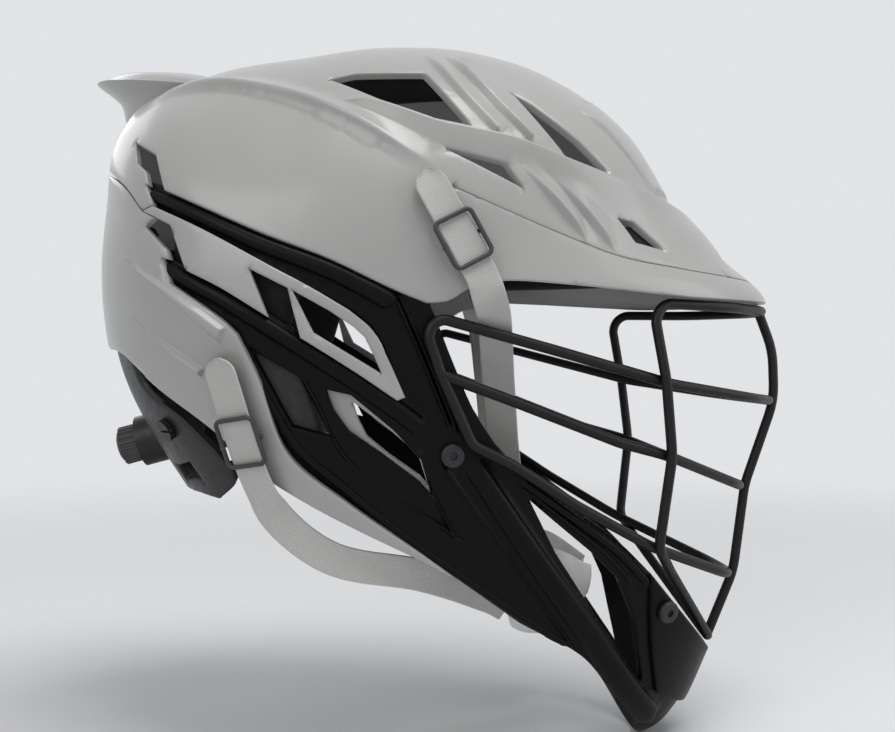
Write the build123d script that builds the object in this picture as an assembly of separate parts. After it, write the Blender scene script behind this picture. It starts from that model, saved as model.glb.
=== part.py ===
from build123d import *
import math
import os

# A lacrosse helmet as it is worn: +X towards the face, +Z up, +Y to the wearer's left.
# The origin is the middle of the head cavity, on the plane of symmetry.
# Side outlines are shares of the form's length (x) and height (z), measured from the origin.
# Places off that plane are shares of the length, the half width and the height.

# The head form that every moulding follows
FORM_LENGTH = 290.0
FORM_HEIGHT = 333.0
FORM_HALF_WIDTH = 108.0
FORM_CENTRE_SHARE = (-0.086, 0.090)
# Outline of the form round its centre: x share, z share, and how full its sides are
FORM_SHARES = [
    (0.778, -0.140, 1.6), (0.766, 0.006, 1.75), (0.700, 0.061, 1.85), (0.657, 0.098, 1.9),
    (0.606, 0.143, 2.0), (0.529, 0.250, 2.1), (0.400, 0.333, 2.2), (0.269, 0.370, 2.2),
    (0.134, 0.377, 2.2), (-0.014, 0.361, 2.2), (-0.167, 0.336, 2.2), (-0.275, 0.300, 2.2),
    (-0.330, 0.235, 2.3), (-0.344, 0.142, 2.4), (-0.353, 0.046, 2.4), (-0.343, -0.057, 2.4),
    (-0.226, -0.270, 2.0), (-0.034, -0.450, 1.8), (0.207, -0.589, 1.5), (0.448, -0.643, 1.3),
    (0.569, -0.640, 1.3), (0.621, -0.601, 1.3), (0.669, -0.517, 1.3), (0.741, -0.339, 1.4),
]
SLICE_SHARES = [-0.997, -0.98, -0.94, -0.87, -0.78, -0.65, -0.5, -0.32, -0.14, 0]

# Walls, depths and gaps
SHELL_WALL = 3.2
FIT_GAP = 0.3
SEAM = 0.5
TUCK = 2.0
FRAME_WALL = 3.5
FRAME_DEPTH = SHELL_WALL + FIT_GAP
RIM_WALL = 2.6
CHIN_PLATE_WALL = 2.5
INNER_DEPTH = FRAME_DEPTH + FRAME_WALL + FIT_GAP
RIDGE_RISE = 2.0
ARM_RIB_DEPTH = -0.4
RIDGE_ROOT = 0.6
OVERRUN = 60.0

# How far outlines run past the form
FRONT_LIMIT_SHARE = 0.800
TOP_LIMIT_SHARE = 0.600
REAR_LIMIT_SHARE = -0.520

# Side edges that neighbouring pieces share
REAR_LIP_SHARES = [(-0.448, 0.291), (-0.355, 0.240), (-0.314, 0.201)]
UPPER_ARM_TOP_SHARES = [
    (-0.309, 0.235), (-0.273, 0.223), (-0.216, 0.200), (-0.129, 0.166), (-0.031, 0.133),
    (0.056, 0.097), (0.110, 0.078),
]
UPPER_ARM_LOW_SHARES = [
    (-0.294, 0.206), (-0.211, 0.170), (-0.109, 0.122), (-0.057, 0.098), (-0.001, 0.069),
]
PILLAR_REAR_SHARES = [(-0.001, 0.069), (0.031, 0.045), (0.050, 0.015), (0.078, -0.040)]
LOWER_ARM_TOP_SHARES = [
    (-0.277, 0.137), (-0.237, 0.119), (-0.180, 0.094), (-0.068, 0.033), (0.008, -0.009),
    (0.066, -0.044),
]
LOWER_ARM_LOW_SHARES = [(-0.264, 0.104), (-0.187, 0.059), (-0.162, 0.039)]
JAW_TOP_SHARES = [
    (-0.162, 0.039), (-0.132, -0.017), (-0.093, -0.113), (-0.006, -0.178), (0.097, -0.243),
    (0.152, -0.280),
]
JAW_FRONT_SHARES = [(0.248, -0.344), (0.358, -0.404), (0.480, -0.560)]
REAR_HEM_SHARES = [
    (0.097, -0.253), (0.009, -0.214), (-0.074, -0.175), (-0.152, -0.131),
    (-0.204, -0.086), (-0.295, -0.030), (-0.355, 0.011), (-0.383, 0.021), (-0.441, 0.024),
]
VENT_EDGE_SHARES = [(-0.291, 0.190), (-0.307, 0.180), (-0.268, 0.147), (-0.263, 0.134)]
BAND_REAR_SHARES = [(-0.240, 0.123), (-0.264, 0.178), (-0.291, 0.190)]
FRONT_CORNER_SHARES = [(0.140, 0.081), (0.169, 0.096), (0.195, 0.100)]
CREASE_SHARES = [
    (0.145, 0.226), (0.225, 0.198), (0.309, 0.170), (0.400, 0.144), (0.499, 0.132),
    (0.600, 0.124), (0.760, 0.117),
]
BRIM_SHARES = [
    (0.760, 0.092), (0.527, 0.092), (0.444, 0.097), (0.302, 0.106), (0.221, 0.108),
    (0.198, 0.100),
]

# Vents and windows in the grey shells
VENT_SHARES = {
    "rear_top": [
        (-0.041, 0.380), (-0.001, 0.389), (0.105, 0.390), (0.174, 0.311), (0.122, 0.319),
        (0.038, 0.346),
    ],
    "front_top": [(0.238, 0.364), (0.269, 0.349), (0.340, 0.302), (0.390, 0.260), (0.317, 0.278)],
    "side": [(0.137, 0.277), (0.225, 0.261), (0.253, 0.227), (0.149, 0.271)],
    "brow": [(0.401, 0.197), (0.425, 0.193), (0.477, 0.156), (0.427, 0.165)],
    "rear_slot": [
        (-0.338, 0.297), (-0.296, 0.274), (-0.272, 0.215), (-0.301, 0.225), (-0.311, 0.253),
        (-0.329, 0.266),
    ],
}
BAND_WINDOW_SHARES = {
    "liner_window": [(-0.143, 0.120), (-0.088, 0.096), (-0.068, 0.025), (-0.112, 0.050)],
    "side_window": [
        (-0.081, 0.093), (-0.031, 0.069), (0.005, 0.048), (0.021, 0.035), (0.032, 0.015),
        (0.044, -0.010), (-0.052, 0.041),
    ],
}

# Ridges that stand up from the crown
RIDGE_SHARES = [
    [
        (-0.240, 0.388), (-0.077, 0.360), (0.068, 0.332), (0.177, 0.311), (0.320, 0.278),
        (0.462, 0.238), (0.600, 0.200),
    ],
    [(0.640, 0.139)],
    [(0.540, 0.139), (0.479, 0.160), (0.384, 0.212), (0.283, 0.264), (0.245, 0.268)],
    [(0.137, 0.281), (0.097, 0.270), (0.012, 0.310), (-0.094, 0.350), (-0.220, 0.370)],
]
CROWN_RIB_SHARES = [
    [(0.112, 0.425), (0.150, 0.420), (0.262, 0.297), (0.225, 0.302)],
    [(0.176, 0.425), (0.215, 0.410), (0.305, 0.285), (0.278, 0.292)],
    [(0.235, 0.252), (0.262, 0.262), (0.352, 0.165), (0.325, 0.172)],
    [(0.285, 0.258), (0.320, 0.238), (0.400, 0.152), (0.372, 0.160)],
]

REAR_FIN_SHARES = [
    [(-0.345, 0.148), (-0.245, 0.100), (-0.180, 0.062), (-0.190, 0.046), (-0.255, 0.078)],
    [(-0.335, 0.072), (-0.275, 0.038), (-0.226, 0.004), (-0.240, -0.004), (-0.290, 0.020)],
]

# Spoiler at the back of the crown: its side outline on the middle plane, and how it sweeps
WING_SHARES = [
    (-0.462, 0.418), (-0.412, 0.431), (-0.290, 0.420), (-0.310, 0.372), (-0.405, 0.352),
    (-0.421, 0.388),
]
WING_HALF_SPAN = 62.0
WING_SWEEP = 60.0
WING_DROP = 10.0
WING_SHRINK_SHARE = 0.7
WING_SLICE_SHARES = [-1, -0.75, -0.4, 0, 0.4, 0.75, 1]

# The black jaw frame: its front edge and its windows
PILLAR_FRONT_SHARES = [(0.124, 0.055), (0.144, 0.010), (0.176, -0.055), (0.207, -0.098)]
CHIN_BAR_TOP_SHARES = [(0.245, -0.134), (0.333, -0.191), (0.402, -0.236), (0.459, -0.285)]
CHIN_TIP_SHARE = (0.612, -0.446)
CHIN_NOSE_SHARE = (0.660, -0.640)
FRAME_WINDOW_SHARES = {
    "jaw_window": [
        (-0.036, -0.030), (-0.026, -0.056), (-0.004, -0.084), (0.043, -0.113), (0.098, -0.150),
        (0.116, -0.168), (0.100, -0.120), (0.060, -0.082), (-0.001, -0.037),
    ],
    "ear_window": [(-0.146, 0.022), (-0.075, -0.014), (-0.030, -0.090), (-0.086, -0.078)],
    "chin_window": [
        (0.262, -0.176), (0.300, -0.205), (0.360, -0.250), (0.405, -0.290), (0.432, -0.345),
        (0.452, -0.445), (0.376, -0.348), (0.303, -0.248),
    ],
}
# Raised ribs along the arms, the pillar and the chin bar
FRAME_RIB_SHARES = [
    [
        [(-0.297, 0.226)],
        [(-0.216, 0.193), (-0.129, 0.159), (-0.031, 0.126), (0.052, 0.091)],
        [(0.054, 0.080)],
        [(-0.033, 0.114), (-0.216, 0.183), (-0.296, 0.216)],
    ],
    [
        [(-0.260, 0.123)],
        [(-0.180, 0.087), (-0.068, 0.026), (0.008, -0.016), (0.056, -0.048)],
        [(0.052, -0.060)],
        [(0.004, -0.029), (-0.070, 0.013), (-0.180, 0.074), (-0.256, 0.110)],
    ],
    [[(0.064, 0.082)], [(0.082, 0.072)], [(0.150, -0.090)], [(0.135, -0.090)]],
    [
        [(-0.012, -0.100)],
        [(0.042, -0.150), (0.150, -0.224)],
        [(0.146, -0.232)],
        [(0.040, -0.160), (-0.020, -0.106)],
    ],
    [
        [(0.256, -0.150)],
        [(0.333, -0.200), (0.400, -0.246)],
        [(0.396, -0.256)],
        [(0.329, -0.210), (0.252, -0.158)],
    ],
]
RIM_SHARES = [
    [
        (-0.046, -0.026), (-0.036, -0.060), (-0.010, -0.090), (0.040, -0.122), (0.096, -0.158),
        (0.126, -0.178),
    ],
    [(0.112, -0.118), (0.064, -0.074), (-0.001, -0.030)],
]
RIM_WINDOW_SHARES = [
    (0.001, -0.046), (0.008, -0.066), (0.021, -0.090), (0.055, -0.115), (0.098, -0.142),
    (0.110, -0.154), (0.096, -0.114), (0.052, -0.080),
]
CHIN_PLATE_SHARES = [
    [(0.640, -0.490)], [(0.540, -0.492), (0.478, -0.462)], [(0.466, -0.400), (0.460, -0.340)],
]

# Foam pads
LINER_DEPTH = SHELL_WALL + FIT_GAP
LINER_WALL = 11.0
SIDE_PAD_WALL = 12.0
PAD_TAPER = 8
PAD_CORNER = 4.0
PAD_REACH = 45.0
CROWN_PAD_LENGTH = 150.0
CROWN_PAD_WIDTH = 74.0
CROWN_PAD_CENTRE_SHARE = 0.035
FRONT_PAD_SHARES = [
    (0.210, 0.130), (0.210, 0.215), (0.400, 0.190), (0.760, 0.190), (0.760, 0.130),
]
REAR_PAD_SHARES = [(-0.500, 0.055), (-0.500, 0.200), (-0.315, 0.185), (-0.335, 0.055)]
SIDE_PAD_SHARES = [
    (-0.260, 0.040), (-0.270, 0.175), (-0.150, 0.185), (-0.070, 0.110), (-0.095, 0.030),
]
EAR_PAD_SHARES = [
    (-0.185, 0.028), (-0.075, 0.002), (-0.040, -0.104), (-0.106, -0.118), (-0.178, -0.040),
]

# Face guard: places on the form are x and z shares, free ones are x, y and z shares
GUARD_WIRE = 4.8
GUARD_WELD = 0.8
GUARD_BOW = 1.0
GUARD_DEPTH = FRAME_DEPTH - FIT_GAP - GUARD_BOW - GUARD_WIRE / 2
GUARD_BEND = 9.0
GUARD_SWEEP = 45.0
GUARD_UPRIGHT_SHARES = [(0.100, 0.066), (0.129, -0.011), (0.174, -0.100)]
GUARD_TOP_SHARES = [
    (0.293, 0.787, 0.021), (0.482, 0.583, -0.024), (0.631, 0.333, -0.045), (0.705, 0, -0.053),
]
GUARD_MIDDLE_SHARES = [
    (0.234, 0.815, -0.045), (0.401, 0.657, -0.102), (0.476, 0.574, -0.120), (0.696, 0, -0.198),
]
GUARD_LOW_SIDE_SHARES = [(0.234, -0.127), (0.334, -0.184)]
GUARD_LOW_SHARES = [(0.455, 0.537, -0.245), (0.678, 0, -0.330)]
GUARD_CROSSING_SHARES = {"top": 0.305, "middle": 0.290, "low": 0.300}
GUARD_BRIM_SHARES = [(0.451, 0.626, 0.084), (0.586, 0.444, 0.081), (0.703, 0, 0.080)]
GUARD_FOOT_SHARES = [(0.493, 0.417, -0.285), (0.594, 0, -0.415)]
GUARD_NOSE_SHARE = (0.698, 0, 0.024)

# Straps: the run on the shell, then the free run to the chin cup
STRAP_WIDTH = 14.5
STRAP_THICK = 1.4
STRAP_STEPS = 4
SLIDER_WIRE = 2.0
SLIDER_LENGTH = 21.0
SLIDER_GAP = 0.5
STRAP_RISE = FIT_GAP + SLIDER_WIRE + SLIDER_GAP + STRAP_THICK / 2
STRAP_BOW = {"front": 1.3, "rear": 2.4}
STRAP_SHELL_SHARES = {
    "front": [(0.105, 0.243), (0.122, 0.216), (0.186, 0.114)],
    "rear": [(-0.188, 0.009), (-0.179, -0.024), (-0.141, -0.144)],
}
STRAP_FREE_SHARES = {
    "front": [
        (0.198, 0.940, 0.084), (0.206, 0.861, 0.060), (0.216, 0.630, -0.030), (0.231, 0.491, -0.150),
        (0.269, 0.380, -0.264), (0.279, 0.363, -0.318),
    ],
    "rear": [
        (-0.103, 0.790, -0.204), (-0.028, 0.741, -0.252), (0.097, 0.630, -0.278), (0.207, 0.389, -0.324),
        (0.238, 0.321, -0.342),
    ],
}
SLIDER_PLACE_SHARE = 0.58
STUD_PLACE_SHARE = 0.65
STUD_HEAD_RADIUS = 5.5
STUD_SHANK_RADIUS = 2.2
STUD_FLANGE_RADIUS = 5.0
STUD_FLANGE_WALL = 1.2

# Chin cup
CUP_CENTRE_SHARE = (0.290, -0.300)
CUP_LENGTH = 52.0
CUP_WIDTH = 76.0
CUP_HEIGHT = 60.0
CUP_WALL = 2.4
CUP_PAD_WALL = 5.0
CUP_SHARES = [
    [(0.248, -0.390), (0.307, -0.387), (0.369, -0.336), (0.383, -0.291)],
    [(0.310, -0.258), (0.276, -0.285), (0.237, -0.345)],
]
CUP_PAD_SHARES = [
    [(0.262, -0.372), (0.305, -0.372), (0.352, -0.330)], [(0.318, -0.290), (0.280, -0.310)],
]

# Screws
SCREW_HEAD_RADIUS = 5.2
SCREW_HEAD_WALL = 2.4
SCREW_SHANK_RADIUS = 2.0
SCREW_SOCKET_RADIUS = 2.0
SCREW_END = 1.5
JAW_SCREW_SHARE = (0.145, -0.114)
CHIN_SCREW_SHARE = (0.486, -0.339)
CRADLE_STUD_SHARE = (-0.293, -0.084)
SLOT_WIDTH = 1.2

# Rear fit cradle and its dial
CRADLE_WALL = 3.0
CRADLE_SHARES = [
    [(-0.480, 0.042)],
    [(-0.352, 0.042)],
    [(-0.331, -0.024), (-0.262, -0.070), (-0.207, -0.114)],
    [(-0.180, -0.150), (-0.214, -0.180)],
    [(-0.276, -0.176), (-0.331, -0.198)],
    [(-0.480, -0.198)],
]
CRADLE_SLOT_SHARES = [(-0.262, -0.130), (-0.296, -0.140), (-0.280, -0.160), (-0.240, -0.158)]
OCCIPITAL_PAD_WALL = 9.0
OCCIPITAL_PAD_SHARES = [
    (-0.480, 0.024), (-0.352, 0.024), (-0.320, -0.060), (-0.310, -0.150), (-0.480, -0.150),
]
DIAL_PLACE_SHARE = (-0.369, -0.108)
DIAL_TILT = 15
HOUSING_RADIUS = 12.5
HOUSING_RISE = 6.0
DIAL_RADIUS = 9.5
DIAL_LENGTH = 9.0
DIAL_FLUTES = 20
FLUTE_RADIUS = 0.9
SPINDLE_RADIUS = 4.0
SPINDLE_LENGTH = 4.0
CAP_RADIUS = 7.0
CAP_SINK = 1.0
CAP_WALL = 2.2


# The form


def form_reach(angle):
    """Distance share of the outline from the form's centre, and the fullness, at an angle."""
    turn = 2 * math.pi
    nodes = form_nodes()
    count = len(nodes)
    spot = max((i for i in range(count) if nodes[i][0] <= angle % turn), default=-1)
    before, low, high, after = (nodes[(spot + k) % count] for k in (-1, 0, 1, 2))
    span = (high[0] - low[0]) % turn
    part = ((angle - low[0]) % turn) / span
    back_span = (high[0] - before[0]) % turn
    front_span = (after[0] - low[0]) % turn
    values = []
    for item in (1, 2):
        slope_low = (high[item] - before[item]) / back_span * span
        slope_high = (after[item] - low[item]) / front_span * span
        values.append(
            (2 * part**3 - 3 * part**2 + 1) * low[item]
            + (part**3 - 2 * part**2 + part) * slope_low
            + (3 * part**2 - 2 * part**3) * high[item]
            + (part**3 - part**2) * slope_high
        )
    return values


def form_nodes():
    """The form's outline as angle, distance share and fullness, in order of angle."""
    turn = 2 * math.pi
    return sorted((math.atan2(z, x) % turn, math.hypot(x, z), full) for x, z, full in FORM_SHARES)


def form_centre():
    return FORM_CENTRE_SHARE[0] * FORM_LENGTH, FORM_CENTRE_SHARE[1] * FORM_HEIGHT


def half_width(x, z, depth=0):
    """Half width of the form, sunk by a depth, where a line across the head passes x and z."""
    centre_x, centre_z = form_centre()
    angle = math.atan2((z - centre_z) / FORM_HEIGHT, (x - centre_x) / FORM_LENGTH)
    reach, full = form_reach(angle)
    edge = reach * math.hypot(math.cos(angle) * FORM_LENGTH, math.sin(angle) * FORM_HEIGHT)
    share = min(math.hypot(x - centre_x, z - centre_z) / (edge - depth), 1)
    return (FORM_HALF_WIDTH - depth) * math.sqrt(1 - share**full)


def form_slice(slice_share, depth):
    """One closed section of the form, at a share of its half width, sunk by a depth."""
    centre_x, centre_z = form_centre()
    angles = [node[0] for node in form_nodes()]
    after = angles[1:] + [angles[0] + 2 * math.pi]
    middles = [(low + high) / 2 for low, high in zip(angles, after)]
    turns = sorted(angles + middles)
    points = []
    for angle in turns:
        reach, full = form_reach(angle)
        out_x, out_z = math.cos(angle) * reach * FORM_LENGTH, math.sin(angle) * reach * FORM_HEIGHT
        distance = math.hypot(out_x, out_z)
        shrink = (distance - depth) / distance * (1 - slice_share**2) ** (1 / full)
        y = slice_share * (FORM_HALF_WIDTH - depth)
        points.append(Vector(centre_x + out_x * shrink, y, centre_z + out_z * shrink))
    return Wire([Edge.make_spline(points, periodic=True, parameters=turns + [turns[0] + 2 * math.pi])])


def form(depth, both_sides=True):
    """The head form with its surface sunk by a depth, whole or its right half."""
    shares = list(SLICE_SHARES)
    if both_sides:
        shares += [-share for share in reversed(SLICE_SHARES[:-1])]
    return Solid.make_loft([form_slice(share, depth) for share in shares])


def layer(outer_depth, wall, both_sides=True):
    """A wall that follows the form."""
    return form(outer_depth, both_sides) - form(outer_depth + wall, both_sides)


# Side outlines


def at(share):
    return Vector(share[0] * FORM_LENGTH, 0, share[1] * FORM_HEIGHT)


def outline(*runs):
    """A face in the side view. Each run is a smooth curve that starts where the last one ended."""
    corner = runs[-1][-1]
    edges = []
    for run in runs:
        points = [at(share) for share in [corner] + list(run)]
        corner = run[-1]
        edges.append(Edge.make_line(*points) if len(points) == 2 else Edge.make_spline(points))
    return Face(Wire(edges))


def polygon(shares):
    return outline(*[[share] for share in shares])


def shifted(shares, along=0, up=0):
    """The same points moved by real lengths."""
    return [(x + along / FORM_LENGTH, z + up / FORM_HEIGHT) for x, z in shares]


def through(face):
    """A block that runs across the whole helmet."""
    reach = FORM_HALF_WIDTH + OVERRUN
    return extrude(face, reach, dir=(0, 1, 0), both=True)


def right_of(face):
    """A block from the middle plane out through the right side."""
    return extrude(face, FORM_HALF_WIDTH + OVERRUN, dir=(0, -1, 0))


def whole(shape):
    """The largest solid of a result, as slivers are dropped."""
    return max(shape.solids(), key=lambda solid: solid.volume)


def mirrored(solid):
    return mirror(solid, about=Plane.XZ)


def moulding(block, depth, wall):
    """The part of a wall of the form that lies in a block."""
    return whole((form(depth) & block) - form(depth + wall))


# Grey shells


def crown_face():
    sky = [(FRONT_LIMIT_SHARE, CREASE_SHARES[-1][1]), (FRONT_LIMIT_SHARE, TOP_LIMIT_SHARE)]
    back = [(REAR_LIMIT_SHARE, TOP_LIMIT_SHARE), (REAR_LIMIT_SHARE, REAR_LIP_SHARES[0][1])]
    rear_end = [UPPER_ARM_LOW_SHARES[0], UPPER_ARM_TOP_SHARES[0]]
    rest = [[point] for point in sky + back]
    return outline(
        REAR_LIP_SHARES, rear_end[:1], rear_end[1:], UPPER_ARM_TOP_SHARES[1:], FRONT_CORNER_SHARES,
        CREASE_SHARES[:1], CREASE_SHARES[1:], *rest,
    )


def visor_face():
    crease = shifted(CREASE_SHARES, along=SEAM, up=-SEAM)
    brim = shifted(BRIM_SHARES, along=SEAM)
    return outline(crease[:1], crease[1:], brim[:1], brim[1:])


def band_face():
    return outline(
        shifted(UPPER_ARM_LOW_SHARES[:1], up=-SEAM), UPPER_ARM_LOW_SHARES[1:],
        PILLAR_REAR_SHARES[1:], LOWER_ARM_TOP_SHARES[-1:], LOWER_ARM_TOP_SHARES[-2:0:-1],
        BAND_REAR_SHARES[:1], BAND_REAR_SHARES[1:2], BAND_REAR_SHARES[2:],
        shifted(REAR_LIP_SHARES[-1:], up=-SEAM),
    )


def rear_face():
    lip = shifted(REAR_LIP_SHARES, up=-SEAM)
    back = [(REAR_LIMIT_SHARE, REAR_HEM_SHARES[-1][1]), (REAR_LIMIT_SHARE, lip[0][1])]
    edge = [[point] for point in shifted(VENT_EDGE_SHARES, along=-SEAM)]
    return outline(
        lip[:1], lip[1:], *edge, LOWER_ARM_TOP_SHARES[:1], LOWER_ARM_LOW_SHARES[:1],
        LOWER_ARM_LOW_SHARES[1:], JAW_TOP_SHARES[1:], REAR_HEM_SHARES, back[:1], back[1:],
    )


def wing_slice(slice_share):
    """The spoiler's section at a share of its half span."""
    bend = slice_share**2
    tip = at(WING_SHARES[0])
    scale = 1 - WING_SHRINK_SHARE * bend
    move = Vector(WING_SWEEP * bend, slice_share * WING_HALF_SPAN, -WING_DROP * bend)
    points = [tip + move + (at(share) - tip) * scale for share in WING_SHARES]
    return Wire(Polyline(*points, close=True).edges())


def crown_shell(wall, ridge_layer):
    shell = wall & through(crown_face())
    ridges = outline(*RIDGE_SHARES)
    for shares in CROWN_RIB_SHARES:
        ridges = ridges + polygon(shares)
    for face in ridges.faces():
        shell = shell + (ridge_layer & through(face))
    wing = Solid.make_loft([wing_slice(share) for share in WING_SLICE_SHARES], ruled=False)
    shell = shell + (wing - form(SHELL_WALL / 2))
    for shares in VENT_SHARES.values():
        shell = shell - through(polygon(shares))
    return whole(shell)


def rear_shell(wall, ridge_layer):
    shell = wall & through(rear_face())
    for shares in REAR_FIN_SHARES:
        shell = shell + (ridge_layer & through(polygon(shares)))
    return whole(shell)


def side_band(wall):
    face = band_face()
    for shares in BAND_WINDOW_SHARES.values():
        face = face - polygon(shares)
    return whole(wall & right_of(face.faces()[0]))


# Black jaw frame


def frame_face():
    face = outline(
        shifted(UPPER_ARM_TOP_SHARES[:1], up=TUCK), shifted(UPPER_ARM_TOP_SHARES[1:], up=TUCK),
        PILLAR_FRONT_SHARES, CHIN_BAR_TOP_SHARES, [CHIN_TIP_SHARE], [CHIN_NOSE_SHARE],
        JAW_FRONT_SHARES[::-1], JAW_TOP_SHARES[::-1],
        shifted(LOWER_ARM_LOW_SHARES[1::-1], up=-TUCK), shifted(LOWER_ARM_TOP_SHARES[:1], up=TUCK),
        shifted(LOWER_ARM_TOP_SHARES[1:], up=TUCK), PILLAR_REAR_SHARES[2::-1],
        shifted(UPPER_ARM_LOW_SHARES[3::-1], up=-TUCK),
    )
    for shares in FRAME_WINDOW_SHARES.values():
        face = face - polygon(shares)
    return face.faces()[0]


def jaw_frame(frame_layer, rib_layer):
    frame = frame_layer & through(frame_face())
    for runs in FRAME_RIB_SHARES:
        frame = frame + (rib_layer & through(outline(*runs)))
    return whole(frame)


def chin_plate():
    edge = shifted([CHIN_BAR_TOP_SHARES[-1], CHIN_TIP_SHARE], up=-SEAM)
    face = outline(edge[:1], edge[1:], *CHIN_PLATE_SHARES)
    depth = FRAME_DEPTH - FIT_GAP - CHIN_PLATE_WALL
    return moulding(through(face), depth, CHIN_PLATE_WALL)


def window_rim():
    face = outline(*RIM_SHARES) - polygon(RIM_WINDOW_SHARES)
    return moulding(right_of(face.faces()[0]), INNER_DEPTH, RIM_WALL)


# Foam pads


def side_pad(shares):
    """A cushion against the right wall, drawn in towards the head."""
    face = polygon(shares)
    face = face.fillet_2d(PAD_CORNER, face.vertices())
    block = extrude(Pos(0, -FORM_HALF_WIDTH, 0) * face, PAD_REACH, dir=(0, 1, 0), taper=PAD_TAPER)
    return moulding(block, INNER_DEPTH, SIDE_PAD_WALL)


def crown_pad():
    oval = Ellipse(CROWN_PAD_LENGTH / 2, CROWN_PAD_WIDTH / 2)
    place = Pos(CROWN_PAD_CENTRE_SHARE * FORM_LENGTH, 0, TOP_LIMIT_SHARE * FORM_HEIGHT)
    block = extrude(place * oval, FORM_HEIGHT / 3, dir=(0, 0, -1), taper=PAD_TAPER / 2)
    return moulding(block, LINER_DEPTH, LINER_WALL)


# Places on the right side of the form


def free_place(share):
    return Vector(share[0] * FORM_LENGTH, -share[1] * FORM_HALF_WIDTH, share[2] * FORM_HEIGHT)


def form_plane(share, depth):
    """A plane on the form, sunk by a depth, that looks straight out of it."""
    x, z = share[0] * FORM_LENGTH, share[1] * FORM_HEIGHT
    step = SEAM
    along = half_width(x + step, z, depth) - half_width(x - step, z, depth)
    up = half_width(x, z + step, depth) - half_width(x, z - step, depth)
    return Plane(Vector(x, -half_width(x, z, depth), z), z_dir=Vector(-along, -2 * step, -up))


def opposite(points):
    return [Vector(point.X, -point.Y, point.Z) for point in reversed(points)]


# Face guard


def wire_path(points, bends, closed=False):
    """Straight runs joined by arcs, each bend no wider than its runs allow."""
    count = len(points)
    radii = []
    for i in range(0 if closed else 1, count if closed else count - 1):
        here = points[i]
        before, after = here - points[i - 1], points[(i + 1) % count] - here
        turn = math.radians(before.get_angle(after))
        widest = 0.45 * min(before.length, after.length) / math.tan(turn / 2)
        radii.append(min(bends[i], widest))
    return FilletPolyline(*points, radius=radii, close=closed)


def wire(path):
    start = Plane(path @ 0, z_dir=path % 0)
    return whole(sweep(start * Circle(GUARD_WIRE / 2), path=path))


def on_top(path, share):
    """Centre of a wire welded across the outside of a bar, at a share of the bar."""
    length = share * path.length
    point = path.position_at(length, PositionMode.LENGTH)
    side = path.tangent_at(length, PositionMode.LENGTH).cross(Vector(0, 0, 1))
    out = side if side.Y < 0 else -side
    return point + out.normalized() * (GUARD_WIRE - GUARD_WELD)


def guard_bars():
    """Paths of the loop's upper and lower halves and of the middle bar, right to left."""
    upper, middle, lower = (form_plane(share, GUARD_DEPTH).origin for share in GUARD_UPRIGHT_SHARES)
    seam = middle + (lower - middle) / 2
    top = [seam, middle, upper] + [free_place(share) for share in GUARD_TOP_SHARES]
    top_bends = [0, GUARD_SWEEP, GUARD_BEND] + [GUARD_SWEEP] * len(GUARD_TOP_SHARES)
    centre = [middle] + [free_place(share) for share in GUARD_MIDDLE_SHARES]
    low_side = [form_plane(share, GUARD_DEPTH).origin for share in GUARD_LOW_SIDE_SHARES]
    low = [seam, lower] + low_side + [free_place(share) for share in GUARD_LOW_SHARES]
    low_bends = [0, GUARD_BEND] + [GUARD_SWEEP] * (len(low) - 2)
    bars = {}
    for name, half, bends in (
        ("top", top, top_bends),
        ("middle", centre, [GUARD_SWEEP] * len(centre)),
        ("low", low, low_bends),
    ):
        bars[name] = wire_path(half + opposite(half)[1:], bends + bends[-2::-1])
    return bars


def face_guard():
    bars = guard_bars()
    crossings = {name: on_top(bars[name], GUARD_CROSSING_SHARES[name]) for name in bars}
    foot = [free_place(share) for share in GUARD_FOOT_SHARES]
    brim = [free_place(share) for share in GUARD_BRIM_SHARES]
    butt = crossings["low"] + (foot[0] - crossings["low"]) / 2
    over = [butt, crossings["low"], crossings["middle"], crossings["top"]] + brim
    over_bends = [GUARD_SWEEP] * 4 + [GUARD_BEND] + [GUARD_SWEEP] * 2
    brim_path = wire_path(over + opposite(over)[1:], over_bends + over_bends[-2::-1])
    under = [butt] + foot
    under_bends = [GUARD_SWEEP] * 2 + [GUARD_BEND]
    foot_path = wire_path(under + opposite(under)[1:], under_bends + under_bends[-2::-1])
    out = Vector(GUARD_WIRE - GUARD_WELD, 0, 0)
    front = [brim_path @ 0.5, free_place(GUARD_NOSE_SHARE)]
    front += [bars[name] @ 0.5 + out for name in ("top", "middle", "low")]
    front.append(foot_path @ 0.5)
    guard = wire(wire_path(front, [GUARD_SWEEP] * len(front)))
    for path in [brim_path, foot_path] + list(bars.values()):
        guard = guard + wire(path)
    return whole(guard)


# Straps, sliders and studs


def strap_route(end):
    """Places along a right-hand strap, each with the direction that its face looks in."""
    rise = STRAP_RISE + STRAP_BOW[end]
    stud, start, stop = (form_plane(share, -rise) for share in STRAP_SHELL_SHARES[end])
    look = (start.z_dir + stop.z_dir).normalized()
    stations = [(stud.origin, look), (start.origin, look), (stop.origin, look)]
    for share in STRAP_FREE_SHARES[end]:
        stations.append((free_place(share), Vector(0, -1, 0)))
    return stations


def blend(values, spot, part):
    """A smooth curve through a list of places."""
    last = len(values) - 1
    before, low = values[max(spot - 1, 0)], values[spot]
    high, after = values[spot + 1], values[min(spot + 2, last)]
    slope_low, slope_high = (high - before) / 2, (after - low) / 2
    return (
        low * (2 * part**3 - 3 * part**2 + 1)
        + slope_low * (part**3 - 2 * part**2 + part)
        + high * (3 * part**2 - 2 * part**3)
        + slope_high * (part**3 - part**2)
    )


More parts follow.
